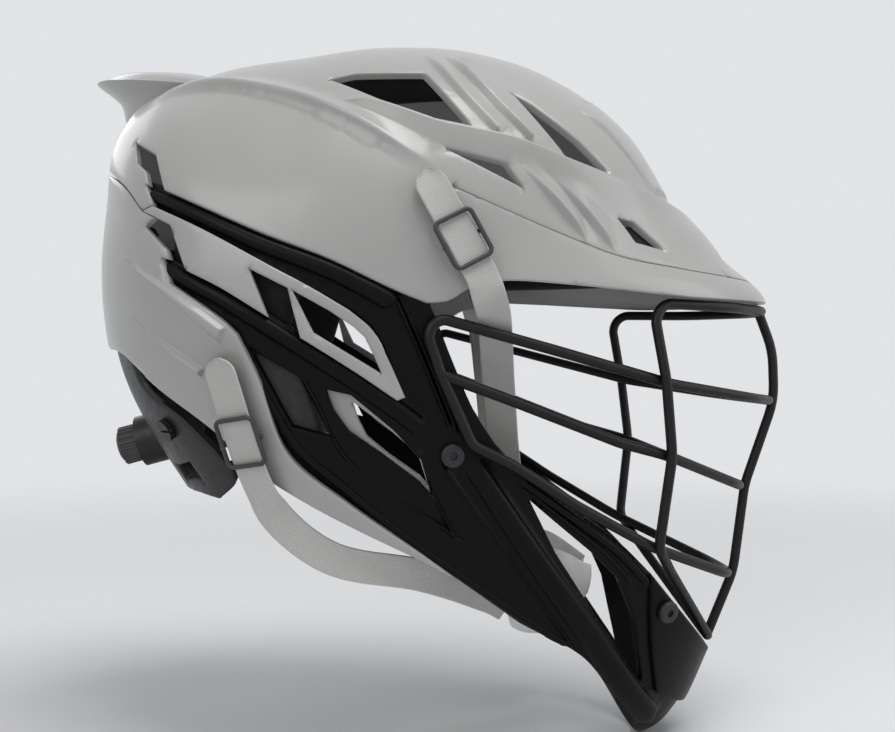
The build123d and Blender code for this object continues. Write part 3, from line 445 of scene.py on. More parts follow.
# Stage: the backdrop's colour, the floor's, the light that comes from all round, the floor's
# size and where it fades out, and each lamp's place, size and power
PALE = (0.76, 0.77, 0.79)
FLOOR_COLOUR = (0.80, 0.81, 0.83)
WORLD_LIGHT = 0.27
FLOOR_RADIUS = 2.5
FLOOR_SIDES = 64
FLOOR_FADE = (0.35, 1.5)
LAMPS = {
    "top": ((0.5, -0.5, 1.7), (1.3, 1.0), 22),
    "key": ((-1.0, -1.7, 0.9), (1.3, 1.3), 11.5),
    "front": ((1.8, -0.4, 0.6), (0.9, 1.4), 7),
    "back": ((-1.3, 1.3, 1.0), (1.2, 1.0), 6.5),
}


# The form


def curved(low, high, slope_low, slope_high, part):
    """Values part of the way along a smooth curve with given ends and slopes."""
    return (
        (2 * part**3 - 3 * part**2 + 1) * low
        + (part**3 - 2 * part**2 + part) * slope_low
        + (3 * part**2 - 2 * part**3) * high
        + (part**3 - part**2) * slope_high
    )


class Form:
    """A rounded body given by its side outline and by how full its sides are round it."""

    def __init__(self, length, height, half_width, centre, shares):
        self.length = length
        self.height = height
        self.half_width = half_width
        self.centre = np.array(centre)
        turn = 2 * math.pi
        nodes = [(math.atan2(z, x) % turn, math.hypot(x, z), full) for x, z, full in shares]
        self.nodes = np.array(sorted(nodes))

    def reach(self, direction):
        """The outline's distance from the centre, and the fullness, in real directions."""
        turn = 2 * math.pi
        angle = np.arctan2(np.sin(direction) / self.height, np.cos(direction) / self.length) % turn
        nodes = self.nodes
        count = len(nodes)
        spot = np.searchsorted(nodes[:, 0], angle, side="right") - 1
        before, low, high, after = (nodes[(spot + k) % count] for k in (-1, 0, 1, 2))
        span = (high[:, 0] - low[:, 0]) % turn
        part = ((angle - low[:, 0]) % turn) / span
        back_span = (high[:, 0] - before[:, 0]) % turn
        front_span = (after[:, 0] - low[:, 0]) % turn
        values = []
        for item in (1, 2):
            slope_low = (high[:, item] - before[:, item]) / back_span * span
            slope_high = (after[:, item] - low[:, item]) / front_span * span
            values.append(curved(low[:, item], high[:, item], slope_low, slope_high, part))
        size = np.hypot(np.cos(angle) * self.length, np.sin(angle) * self.height)
        return values[0] * size, values[1]

    def to_disc(self, places, depth):
        """Side-view places as places on a disc whose rim is the middle plane."""
        away = np.asarray(places, float) - self.centre
        direction = np.arctan2(away[:, 1], away[:, 0])
        edge, full = self.reach(direction)
        share = np.hypot(away[:, 0], away[:, 1]) / (edge - depth)
        inside = np.arcsin(np.minimum(share, 1) ** (full / 2))
        polar = np.where(share < 1, inside, math.pi / 2 + 2 * (share - 1))
        return np.stack([polar * np.cos(direction), polar * np.sin(direction)], 1)

    def from_disc(self, spots, depth):
        """Places on the right side of the form, sunk by a depth."""
        polar = np.minimum(np.hypot(spots[:, 0], spots[:, 1]), math.pi / 2)
        direction = np.arctan2(spots[:, 1], spots[:, 0])
        edge, full = self.reach(direction)
        out = np.sin(polar) ** (2 / full) * (edge - depth)
        x = self.centre[0] + out * np.cos(direction)
        z = self.centre[1] + out * np.sin(direction)
        y = -(self.half_width - depth) * np.cos(polar)
        return np.stack([x, y, z], 1)

    def place(self, share, depth):
        """One place on the right side, from its shares."""
        spot = self.to_disc(at([share]), depth)
        return Vector(self.from_disc(spot, depth)[0])

    def look(self, share, depth):
        """The direction straight out of the form at a place."""
        spots = self.to_disc(at([share]), depth) + np.array([[0, 0], [0.01, 0], [0, 0.01]])
        here, along, up = (Vector(place) for place in self.from_disc(spots, depth))
        return (along - here).cross(up - here).normalized()


def at(shares):
    """Side-view places in metres from their shares."""
    return np.array(shares, float) * (FORM_LENGTH, FORM_HEIGHT)


def free_place(share):
    """A place off the middle plane on the right side, from its three shares."""
    return Vector((share[0] * FORM_LENGTH, -share[1] * FORM_HALF_WIDTH, share[2] * FORM_HEIGHT))


HEAD = Form(FORM_LENGTH, FORM_HEIGHT, FORM_HALF_WIDTH, at([FORM_CENTRE_SHARE])[0], FORM_SHARES)
CUP = Form(
    2 * CUP_HALF_SIZES[0], 2 * CUP_HALF_SIZES[2], CUP_HALF_SIZES[1], at([CUP_CENTRE_SHARE])[0],
    [(math.cos(k * math.pi / 4) / 2, math.sin(k * math.pi / 4) / 2, 2) for k in range(8)],
)


# Side outlines


def shifted(shares, along=0, up=0):
    """The same shares moved by real lengths."""
    return [(x + along / FORM_LENGTH, z + up / FORM_HEIGHT) for x, z in shares]


def smooth_run(points, step):
    """Places every step along a smooth curve through the points."""
    points = np.asarray(points, float)
    if len(points) == 2:
        count = max(1, round(np.linalg.norm(points[1] - points[0]) / step))
        return points[0] + (points[1] - points[0]) * np.arange(count)[:, None] / count
    first = 2 * points[0] - points[1]
    last = 2 * points[-1] - points[-2]
    padded = np.vstack([first, points, last])
    placed = []
    for before, low, high, after in zip(padded, padded[1:], padded[2:], padded[3:]):
        length = np.linalg.norm(high - low)
        back = np.linalg.norm(low - before)
        front = np.linalg.norm(after - high)
        slope_low = (high - before) / (back + length) * length
        slope_high = (after - low) / (length + front) * length
        count = max(1, round(length / step))
        part = np.arange(count)[:, None] / count
        placed.append(curved(low, high, slope_low, slope_high, part))
    return np.vstack(placed)


def outline(*runs, step=GRID / 4):
    """A closed outline in the side view, of smooth runs from where the last one ended."""
    corner = runs[-1][-1]
    parts = []
    for run in runs:
        parts.append(smooth_run(at([corner] + list(run)), step))
        corner = run[-1]
    return parts


def polygon(shares, step=GRID / 4):
    return outline(*[[share] for share in shares], step=step)


def thinned(parts, spacing):
    """The runs of a closed loop with evenly spaced places, corners kept."""
    placed = []
    for part, after in zip(parts, parts[1:] + parts[:1]):
        line = np.vstack([part, after[:1]])
        lengths = np.concatenate([[0], np.cumsum(np.linalg.norm(np.diff(line, axis=0), axis=1))])
        count = max(1, round(lengths[-1] / spacing))
        marks = np.arange(count) / count * lengths[-1]
        placed.append(np.stack([np.interp(marks, lengths, line[:, k]) for k in range(2)], 1))
    return np.vstack(placed)


def inside(places, loop):
    """Which places lie inside a closed loop."""
    result = np.zeros(len(places), bool)
    for (x1, z1), (x2, z2) in zip(loop, np.roll(loop, -1, axis=0)):
        if z1 == z2:
            continue
        crossing = (places[:, 1] > z1) != (places[:, 1] > z2)
        result ^= crossing & (places[:, 0] < (x2 - x1) * (places[:, 1] - z1) / (z2 - z1) + x1)
    return result


def distance(places, starts, ends):
    """Distance of each place from the nearest of many short lines."""
    nearest = np.full(len(places), 1.0)
    for start, end in zip(starts, ends):
        run = end - start
        away = places - start
        part = np.clip(away @ run / max(run @ run, TINY_AREA), 0, 1)
        gap = away - part[:, None] * run
        nearest = np.minimum(nearest, np.einsum("ij,ij->i", gap, gap))
    return np.sqrt(nearest)


def normals(run):
    """Unit directions to the left of a line's directions."""
    normal = np.stack([-run[:, 1], run[:, 0]], 1)
    return normal / np.maximum(np.linalg.norm(normal, axis=1), TINY)[:, None]


def smooth_line(shares):
    """Close places along a smooth open line, with its end."""
    points = at(shares)
    return np.vstack([smooth_run(points, GRID / 2), points[-1:]])


def inset(loop, distance_in):
    """Places of a closed loop moved towards its inside."""
    following = np.roll(loop, -1, axis=0)
    area = np.sum(loop[:, 0] * following[:, 1] - following[:, 0] * loop[:, 1])
    normal = normals(following - np.roll(loop, 1, axis=0))
    return loop + normal * (distance_in if area > 0 else -distance_in)


def bevelled(part):
    """A straight rise from 0 to 1 with rounded ends."""
    low = np.clip(part + EDGE_SHARE, 0, 2 * EDGE_SHARE) ** 2 / (4 * EDGE_SHARE)
    high = np.clip(1 + EDGE_SHARE - part, 0, 2 * EDGE_SHARE) ** 2 / (4 * EDGE_SHARE)
    middle = np.where(part < 0.5, np.maximum(part, low), np.minimum(part, 1 - high))
    return np.clip(middle, 0, 1)


class Raised:
    """Something raised on a moulding: its height at side-view places, and lines to mesh it by."""

    def __init__(self, extent, margin, rise):
        self.low = extent.min(0) - margin
        self.high = extent.max(0) + margin
        self.rise = rise

    def height(self, places):
        near = ((places > self.low) & (places < self.high)).all(1)
        found = np.zeros(len(places))
        if near.any():
            found[near] = self.rise * self.share(places[near])
        return found


class Plateau(Raised):
    """A raised field, with its outline in the side view and the width of its slope."""

    def __init__(self, parts, rise, slope):
        self.loop = thinned(parts, GRID / 2)
        self.slope = slope
        super().__init__(self.loop, slope, rise)

    def share(self, places):
        gap = distance(places, self.loop, np.roll(self.loop, -1, axis=0))
        return bevelled(np.where(inside(places, self.loop), gap, -gap) / self.slope)

    def guides(self):
        shares = (-EDGE_SHARE, 0, EDGE_SHARE, 1 - EDGE_SHARE, 1, 1 + EDGE_SHARE)
        return [inset(self.loop, self.slope * share) for share in shares]


class Crease(Raised):
    """A raised edge: a short drop on one side, and a long slope to a second line on the other."""

    def __init__(self, high, low, rise, drop, fades):
        self.crest = smooth_line(high)
        self.foot = smooth_line(low)
        self.loop = np.vstack([self.crest, self.foot[::-1]])
        self.drop = drop
        self.fades = fades
        super().__init__(self.loop, 2 * drop, rise)

    def share(self, places):
        to_crest = distance(places, self.crest[:-1], self.crest[1:])
        to_foot = distance(places, self.foot[:-1], self.foot[1:])
        within = inside(places, self.loop)
        inner = np.where(within, to_foot / np.maximum(to_foot + to_crest, TINY), 1)
        outer = 1 + np.where(within, to_crest, -to_crest) / self.drop
        close = np.maximum(CREASE_ROUND - np.abs(inner - outer), 0)
        lift = bevelled(np.minimum(inner, outer) - close**2 / (4 * CREASE_ROUND))
        for nothing, full in self.fades:
            part = np.clip((places[:, 0] / FORM_LENGTH - nothing) / (full - nothing), 0, 1)
            lift = lift * part * part * (3 - 2 * part)
        return lift

    def guides(self):
        normal = normals(np.gradient(self.crest, axis=0))
        middle = self.loop.mean(0)
        if np.mean(np.einsum("ij,ij->i", middle - self.crest, normal)) > 0:
            normal = -normal
        lines = [self.crest + normal * self.drop * share for share in CREASE_GUIDE_SHARES]
        return lines + [self.foot]


class Roll(Raised):
    """A rounded bead along a line, its half width running from one value to another."""

    def __init__(self, shares, widths, rise):
        self.line = smooth_line(shares)
        self.widths = widths
        super().__init__(self.line, max(widths), rise)

    def width(self, part):
        return self.widths[0] + (self.widths[1] - self.widths[0]) * part

    def share(self, places):
        first, last = self.line[0, 0], self.line[-1, 0]
        width = self.width(np.clip((places[:, 0] - first) / (last - first), 0, 1))
        gap = distance(places, self.line[:-1], self.line[1:])
        return width / max(self.widths) * np.sqrt(np.clip(1 - (gap / width) ** 2, 0, 1))

    def guides(self):
        normal = normals(np.gradient(self.line, axis=0))
        width = self.width(np.linspace(0, 1, len(self.line))[:, None])
        return [self.line + normal * width * share for share in ROLL_GUIDE_SHARES]


def rounding(gap, radius):
    """How far a rounded edge has dropped at a distance from it."""
    short = np.clip(radius - gap, 0, radius)
    return radius - np.sqrt(radius**2 - short**2)


class Moulding:
    """A wall that follows a form, cut to an outline: its mesh for the right side or for both."""

    def __init__(self, form, parts, depth, wall, holes=(), raised=(), edge=EDGE_ROUND, inner_edge=0,
                 grid=GRID, flat_loop=None):
        self.form = form
        self.depth = depth
        self.wall = wall
        self.raised = raised
        scale = form.half_width * DISC_SCALE_SHARE
        spacing = grid / scale
        if flat_loop is None:
            self.loops = [self.flattened(part, spacing) for part in [parts, *holes]]
        else:
            self.loops = [flat_loop]
        self.find_borders()
        widest = max(edge, inner_edge)
        free = self.edge_rings(widest, scale)
        guides = self.guides(GUIDE_KEEP_SHARE * widest)
        lattice = self.lattice(spacing)
        keep = self.border_gap(lattice) > widest + LATTICE_KEEP_SHARE * grid
        if len(guides):
            keep &= self.clear_of(lattice, guides, CLEAR_SHARE * spacing)
        free += [guides, lattice[keep]]
        self.triangulate(self.loops + self.seam_rim(spacing), np.vstack(free))
        self.lift(edge, inner_edge)

    def seam_rim(self, spacing):
        """The middle plane as a ring of the disc, where the outline reaches it."""
        if not (np.hypot(*self.loops[0].T) > math.pi / 2).any():
            return []
        count = int(math.pi * math.pi / spacing)
        turns = np.arange(count) / count * 2 * math.pi
        return [np.stack([np.cos(turns), np.sin(turns)], 1) * math.pi / 2]

    def edge_rings(self, widest, scale):
        """Places beside each border, which carry its rounding."""
        free = []
        for loop in self.loops:
            inward = widest if loop is self.loops[0] else -widest
            for share in RING_SHARES:
                ring = inset(loop, inward * share / scale)
                gap = self.border_gap(ring)
                free.append(ring[self.covers(ring) & (gap > RING_KEEP_SHARE * widest * share)])
        return free

    def guides(self, gap):
        """Places along the lines of what is raised, a gap away from every border."""
        guides = [np.zeros((0, 2))]
        for thing in self.raised:
            for guide in thing.guides():
                spots = self.form.to_disc(guide, self.depth)
                guides.append(spots[self.covers(spots) & (self.border_gap(spots) > gap)])
        return np.vstack(guides)

    def flattened(self, parts, spacing):
        return thinned([self.form.to_disc(part, self.depth) for part in parts], spacing)

    def find_borders(self):
        """The borders as short lines on the form, without those past the middle plane."""
        starts, ends = [], []
        for loop in self.loops:
            following = np.roll(loop, -1, axis=0)
            shown = (np.hypot(*loop.T) < math.pi / 2) | (np.hypot(*following.T) < math.pi / 2)
            starts.append(self.form.from_disc(loop[shown], self.depth))
            ends.append(self.form.from_disc(following[shown], self.depth))
        self.starts, self.ends = np.vstack(starts), np.vstack(ends)

    def border_gap(self, spots):
        return distance(self.form.from_disc(spots, self.depth), self.starts, self.ends)

    def covers(self, spots):
        """Which spots the wall covers."""
        kept = inside(spots, self.loops[0]) & (np.hypot(*spots.T) < math.pi / 2)
        for hole in self.loops[1:]:
            kept &= ~inside(spots, hole)
        return kept

    def lattice(self, spacing):
        """Rows of evenly spaced spots, each row half a step off the last."""
        low = np.maximum(self.loops[0].min(0), -math.pi / 2)
        high = np.minimum(self.loops[0].max(0), math.pi / 2)
        rows = np.arange(low[1], high[1], spacing * math.sqrt(3) / 2)
        spots = []
        for number, level in enumerate(rows):
            across = np.arange(low[0] + spacing / 2 * (number % 2), high[0], spacing)
            spots.append(np.stack([across, np.full(len(across), level)], 1))
        spots = np.vstack(spots)
        spots = spots[np.hypot(*spots.T) < math.pi / 2 - 0.5 * spacing]
        return spots[self.covers(spots)]

    def clear_of(self, spots, others, gap):
        """Which spots have none of the others near them, found on a grid of cells."""
        taken = {(int(a // gap), int(b // gap)) for a, b in others}
        return np.array([
            not any(
                (int(a // gap) + i, int(b // gap) + j) in taken
                for i in (-1, 0, 1) for j in (-1, 0, 1)
            )
            for a, b in spots
        ])

    def triangulate(self, fixed, free):
        spots, edges = [], []
        for loop in fixed:
            first = len(spots)
            count = len(loop)
            spots += list(loop)
            edges += [(first + i, first + (i + 1) % count) for i in range(count)]
        spots += list(free)
        found = delaunay_2d_cdt([Vector(spot) for spot in spots], edges, [], 0, WELD_GAP)
        spots = np.array([tuple(spot) for spot in found[0]])
        faces = np.array([tuple(face) for face in found[2]])
        middle = spots[faces].mean(1)
        faces = faces[self.covers(middle)]
        a, b, c = (spots[faces[:, k]] for k in range(3))
        turn = (b[:, 0] - a[:, 0]) * (c[:, 1] - a[:, 1]) - (b[:, 1] - a[:, 1]) * (c[:, 0] - a[:, 0])
        faces[turn < 0] = faces[turn < 0][:, ::-1]
        used, faces = np.unique(faces, return_inverse=True)
        self.spots = spots[used]
        self.faces = faces.reshape(-1, 3)
        self.seam = np.hypot(*self.spots.T) > math.pi / 2 - SEAM_REACH

    def lift(self, edge, inner_edge):
        """Works out the outer and inner faces, with rounded edges and what is raised."""
        gap = self.border_gap(self.spots)
        sunk = self.depth + rounding(gap, edge)
        flat = self.form.from_disc(self.spots, self.depth)
        height = np.zeros(len(flat))
        for thing in self.raised:
            height = np.maximum(height, thing.height(flat[:, [0, 2]]))
        floor = self.depth + self.wall - rounding(gap, inner_edge)
        self.outer = self.form.from_disc(self.spots, sunk - height)
        self.inner = self.form.from_disc(self.spots, floor)
        self.outer[self.seam, 1] = 0
        self.inner[self.seam, 1] = 0

    def half(self):
        """Places and faces of the right half, open along the middle plane."""
        count = len(self.spots)
        faces = [tuple(face) for face in self.faces]
        faces += [tuple(face[::-1] + count) for face in self.faces]
        directed = set()
        for a, b, c in self.faces:
            directed |= {(a, b), (b, c), (c, a)}
        for a, b in directed:
            if (b, a) not in directed and not (self.seam[a] and self.seam[b]):
                faces.append((b, a, a + count, b + count))
        return np.vstack([self.outer, self.inner]), faces

    def both(self):
        """Places and faces of the whole piece."""
        places, faces = self.half()
        count = len(places)
        on_seam = np.concatenate([self.seam, self.seam])
        twin = np.where(on_seam, np.arange(count), np.arange(count) + count)
        flipped = places * (1, -1, 1)
        faces += [tuple(twin[list(face)][::-1]) for face in faces]
        return np.vstack([places, flipped]), faces


# Meshes and pieces


def add_object(name, data):
    """A new object of the scene that shows some data."""
    made = bpy.data.objects.new(name, data)
    bpy.context.scene.collection.objects.link(made)
    return made


def new_mesh(name, places, faces, sharp=SHARP_ANGLE):
    """A piece from its places and faces, with edges kept sharp past an angle in degrees."""
    mesh = bpy.data.meshes.new(name)
    corners = [tuple(map(int, face)) for face in faces]
    mesh.from_pydata([tuple(place) for place in places], [], corners)
    mesh.validate()
    mesh.shade_smooth()
    mesh.set_sharp_from_angle(angle=math.radians(sharp))
    return add_object(name, mesh)


def swept_faces(rows, count):
    """Faces of a bar made of rows of places, closed at both ends."""
    faces = []
    for row in range(rows - 1):
        low, high = row * count, (row + 1) * count
        for k in range(count):
            after = (k + 1) % count
            faces.append((low + k, low + after, high + after, high + k))
    first, last = range(count - 1, -1, -1), range((rows - 1) * count, rows * count)
    return faces + [tuple(first), tuple(last)]


def drop_loose(piece):
    """Takes out places that no face uses."""
    mesh = piece.data
    corners = np.zeros(len(mesh.loops), int)
    mesh.loops.foreach_get("vertex_index", corners)
    if len(np.unique(corners)) == len(mesh.vertices):
        return
    work = bmesh.new()
    work.from_mesh(mesh)
    loose = [spot for spot in work.verts if not spot.link_faces]
    bmesh.ops.delete(work, geom=loose, context="VERTS")
    work.to_mesh(mesh)
    work.free()


def dress(piece, material, node, body="helmet"):
    """Gives a piece its finish and the body that carries it, and hides the CAD node that it stands
    for.
    """
    drop_loose(piece)
    piece.data.materials.append(material)
    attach(piece, body)
    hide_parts(node)
    return piece


def whole_piece(name, moulding, material, node, body="helmet"):
    return dress(new_mesh(name, *moulding.both()), material, node, body)


def side_pieces(name, places, faces, material, slot, node, sharp=SHARP_ANGLE):
    """A right-hand piece and its left-hand twin."""
    right = new_mesh(name.format("right"), places, faces, sharp)
    dress(right, material, node + "_right")
    flipped = [tuple(face[::-1]) for face in faces]
    left = new_mesh(name.format("left"), places * (1, -1, 1), flipped, sharp)
    dress(left, material, node + "_left")
    return right, left


# Materials


class Finish:
    """A procedural material under construction."""

    def __init__(self, name, colour, roughness, values):
        self.material = bpy.data.materials.new(name)
        self.material.use_nodes = True
        self.tree = self.material.node_tree
        self.join = self.tree.links.new
        self.shader = self.tree.nodes["Principled BSDF"]
        self.colour = colour
        self.shader.inputs["Base Color"].default_value = (*colour, 1)
        self.shader.inputs["Roughness"].default_value = roughness
        for value_name, value in values.items():
            self.shader.inputs[value_name].default_value = value
        self.coordinates = self.node("TexCoord")

    def node(self, kind, **values):
        """A new node with some of its inputs set."""
        made = self.tree.nodes.new("ShaderNode" + kind)
        for name, value in values.items():
            made.inputs[name.replace("_", " ")].default_value = value
        return made

    def noise(self, size, detail):
        mapping = self.node("Mapping", Scale=[1 / size] * 3)
        noise = self.node("TexNoise", Scale=1, Detail=detail)
        self.join(self.coordinates.outputs["Object"], mapping.inputs["Vector"])
        self.join(mapping.outputs["Vector"], noise.inputs["Vector"])
        return noise.outputs["Fac"]

    def wave(self, size, axis):
        """Even stripes across an axis of the UV map, the size of one stripe given."""
        wave = self.node("TexWave", Scale=math.pi / 10 / size)
        wave.wave_profile = "SIN"
        wave.bands_direction = axis
        self.join(self.coordinates.outputs["UV"], wave.inputs["Vector"])
        return wave.outputs["Fac"]

    def combined(self, first, second, operation):
        node = self.node("Math")
        node.operation = operation
        self.join(first, node.inputs[0])
        self.join(second, node.inputs[1])
        return node.outputs["Value"]

    def tint(self, value, share):
        """Base colour that grows lighter and darker with a texture value."""
        mix = self.node("Mix")
        mix.data_type = "RGBA"
        mix.inputs["A"].default_value = (*[part * (1 - share) for part in self.colour], 1)
        mix.inputs["B"].default_value = (*[min(part * (1 + share), 1) for part in self.colour], 1)
        self.join(value, mix.inputs["Factor"])
        self.join(mix.outputs["Result"], self.shader.inputs["Base Color"])

    def rough(self, value, low, high):
        """Roughness that runs from low to high with a texture value."""
        limits = dict(zip(("From_Min", "From_Max"), NOISE_RANGE), To_Min=low, To_Max=high)
        spread = self.node("MapRange", **limits)
        self.join(value, spread.inputs["Value"])
        self.join(spread.outputs["Result"], self.shader.inputs["Roughness"])

    def bump(self, value, depth):
        bump = self.node("Bump", Distance=depth, Strength=1)
        self.join(value, bump.inputs["Height"])
        self.join(bump.outputs["Normal"], self.shader.inputs["Normal"])


def mottled(name, colour, roughness, tint, rough, grain, **values):
    """A finish with uneven colour, uneven roughness and a fine grain.

    tint holds a size, a detail and a share, rough a size and two limits, and grain a size, a
    detail and a depth."""
    finish = Finish(name, colour, roughness, {key.replace("_", " "): values[key] for key in values})
    finish.tint(finish.noise(*tint[:2]), tint[2])
    finish.rough(finish.noise(rough[0], NOISE_DETAIL), *rough[1:])
    finish.bump(finish.noise(*grain[:2]), grain[2])
    return finish.material


def gloss_shell():
    return mottled(
        "shell_gloss", (0.352, 0.352, 0.343), 0.36, (70 * MM, 1, 0.012), (12 * MM, 0.36, 0.41),
        (0.9 * MM, 1, 0.003 * MM), Coat_Weight=0.45, Coat_Roughness=0.16,
    )


def frame_black():
    return mottled(
        "frame_black", (0.0018, 0.0018, 0.0020), 0.33, (35 * MM, NOISE_DETAIL, 0.2),
        (5 * MM, 0.32, 0.42), (0.7 * MM, 2, 0.012 * MM), Specular_IOR_Level=0.12,
    )


def guard_coat():
    return mottled(
        "guard_coat", (0.008, 0.0072, 0.0068), 0.44, (12 * MM, NOISE_DETAIL, 0.25),
        (2 * MM, 0.36, 0.5), (0.5 * MM, 2, 0.03 * MM), Specular_IOR_Level=0.24,
    )


def foam(name, colour):
    return mottled(
        name, colour, 0.9, (4 * MM, 5, 0.3), (1.5 * MM, 0.8, 0.98), (0.6 * MM, 4, 0.12 * MM),
        Sheen_Weight=0.04, Specular_IOR_Level=0.2,
    )


def plain_plastic(name, colour, roughness, grain, depth):
    return mottled(
        name, colour, roughness, (10 * MM, NOISE_DETAIL, 0.12),
        (3 * MM, roughness - 0.06, roughness + 0.08), (grain, NOISE_DETAIL, depth),
        Specular_IOR_Level=0.35,
    )


def webbing():
    """Cloth with ribs along the strap and threads across it."""
    values = {"Sheen Weight": 0.12}
    finish = Finish("webbing", (0.46, 0.458, 0.445), 0.8, values)
    weave = finish.combined(finish.wave(1.1 * MM, "Y"), finish.wave(0.8 * MM, "X"), "MULTIPLY")
    finish.tint(finish.combined(weave, finish.noise(8 * MM, NOISE_DETAIL), "ADD"), 0.06)
    finish.rough(weave, 0.7, 0.9)
    finish.bump(weave, 0.12 * MM)
    return finish.material


# Grey shells


def crown(material):
    sky = [(FRONT_LIMIT_SHARE, CREASE_SHARES[-1][1]), (FRONT_LIMIT_SHARE, TOP_LIMIT_SHARE)]
    back = [(REAR_LIMIT_SHARE, TOP_LIMIT_SHARE), (REAR_LIMIT_SHARE, REAR_LIP_SHARES[0][1])]
    rear_end = [UPPER_ARM_LOW_SHARES[0], UPPER_ARM_TOP_SHARES[0]]
    parts = outline(
        REAR_LIP_SHARES, rear_end[:1], rear_end[1:], UPPER_ARM_TOP_SHARES[1:], FRONT_CORNER_SHARES,
        CREASE_SHARES[:1], CREASE_SHARES[1:], *[[point] for point in sky + back],
    )
    holes = [polygon(shares) for shares in VENT_SHARES.values()]
    raised = [Crease(*values) for values in CROWN_CREASES]
    moulding = Moulding(HEAD, parts, 0, SHELL_WALL, holes, raised)
    whole_piece("crown", moulding, material, "crown_shell")


def wing(material):
    """The spoiler, as sections swept from side to side."""
    tip = at([WING_SHARES[0]])[0]
    section = smooth_run(at(WING_SHARES + WING_SHARES[:1]), WING_STEP)
    places = []
    for number in range(WING_SLICES):
        share = math.sin((number / (WING_SLICES - 1) - 0.5) * math.pi)
        bend = share * share
        for x, z in tip + (section - tip) * (1 - WING_SHRINK_SHARE * bend):
            places.append((x + WING_SWEEP * bend, share * WING_HALF_SPAN, z - WING_DROP * bend))
    faces = swept_faces(WING_SLICES, len(section))
    piece = new_mesh("wing", places, faces, SWEPT_SHARP_ANGLE)
    dress(piece, material, "crown_shell")


def visor(material):
    crease = shifted(CREASE_SHARES, along=SEAM / 2, up=-SEAM / 2)
    brim = shifted(BRIM_SHARES, along=SEAM)
    parts = outline(crease[:1], crease[1:], brim[:1], brim[1:])
    moulding = Moulding(HEAD, parts, 0, SHELL_WALL, edge=EDGE_ROUND / 2)
    whole_piece("brow_visor", moulding, material, "visor")


def rear_shell(material):
    lip = shifted(REAR_LIP_SHARES, up=-SEAM)
    back = [(REAR_LIMIT_SHARE, REAR_HEM_SHARES[-1][1]), (REAR_LIMIT_SHARE, lip[0][1])]
    edge = [[point] for point in shifted(VENT_EDGE_SHARES, along=-SEAM)]
    parts = outline(
        lip[:1], lip[1:], *edge, LOWER_ARM_TOP_SHARES[:1], LOWER_ARM_LOW_SHARES[:1],
        LOWER_ARM_LOW_SHARES[1:], JAW_TOP_SHARES[1:], REAR_HEM_SHARES, back[:1], back[1:],
    )
    raised = [Plateau(polygon(shares), RIDGE_RISE, RIDGE_SLOPE) for shares in REAR_FIN_SHARES]
    moulding = Moulding(HEAD, parts, 0, SHELL_WALL, raised=raised)
    whole_piece("back_shell", moulding, material, "rear_shell")


def side_bands(material):
    parts = outline(
        shifted(UPPER_ARM_LOW_SHARES[:1], up=-SEAM), UPPER_ARM_LOW_SHARES[1:],
        PILLAR_REAR_SHARES[1:], LOWER_ARM_TOP_SHARES[-1:], LOWER_ARM_TOP_SHARES[-2:0:-1],
        BAND_REAR_SHARES[:1], BAND_REAR_SHARES[1:2], BAND_REAR_SHARES[2:],
        shifted(REAR_LIP_SHARES[-1:], up=-SEAM),
    )
    holes = [polygon(shares) for shares in BAND_WINDOW_SHARES.values()]
    moulding = Moulding(HEAD, parts, 0, SHELL_WALL, holes, grid=NARROW_GRID)
    side_pieces("window_band_{}", *moulding.half(), material, "shell", "side_band")


# Black jaw frame


def jaw_frame(material):
    parts = outline(
        shifted(UPPER_ARM_TOP_SHARES[:1], up=TUCK), shifted(UPPER_ARM_TOP_SHARES[1:], up=TUCK),
        PILLAR_FRONT_SHARES, CHIN_BAR_TOP_SHARES, [CHIN_TIP_SHARE], [CHIN_NOSE_SHARE],
        JAW_FRONT_SHARES[::-1], JAW_TOP_SHARES[::-1],
        shifted(LOWER_ARM_LOW_SHARES[1::-1], up=-TUCK), shifted(LOWER_ARM_TOP_SHARES[:1], up=TUCK),
        shifted(LOWER_ARM_TOP_SHARES[1:], up=TUCK), PILLAR_REAR_SHARES[2::-1],
        shifted(UPPER_ARM_LOW_SHARES[3::-1], up=-TUCK),
    )
    holes = [polygon(shares) for shares in FRAME_WINDOW_SHARES.values()]
    raised = [Roll(*values) for values in FRAME_BEADS]
    moulding = Moulding(HEAD, parts, FRAME_DEPTH, FRAME_WALL, holes, raised, grid=NARROW_GRID)
    whole_piece("jaw_frame_black", moulding, material, "jaw_frame")


def chin_plate(material):
    edge = shifted([CHIN_BAR_TOP_SHARES[-1], CHIN_TIP_SHARE], up=-SEAM)
    parts = outline(edge[:1], edge[1:], *CHIN_PLATE_SHARES)
    depth = FRAME_DEPTH - FIT_GAP - CHIN_PLATE_WALL
    moulding = Moulding(HEAD, parts, depth, CHIN_PLATE_WALL, grid=NARROW_GRID)
    whole_piece("chin_guard_plate", moulding, material, "chin_plate")


def window_rims(material):
    holes = [polygon(RIM_WINDOW_SHARES)]
    moulding = Moulding(HEAD, outline(*RIM_SHARES), INNER_DEPTH, RIM_WALL, holes, grid=RIM_GRID)
    side_pieces("jaw_window_rim_{}", *moulding.half(), material, "rim", "window_rim")


# Foam pads


def pad_moulding(parts, depth, wall, flat_loop=None):
    return Moulding(
        HEAD, parts, depth, wall, edge=PAD_ROUND / 2, inner_edge=PAD_ROUND, flat_loop=flat_loop,
    )


def middle_pad(name, moulding, node, material, body="helmet"):
    """A pad across the middle plane."""
    whole_piece(name, moulding, material, node, body)


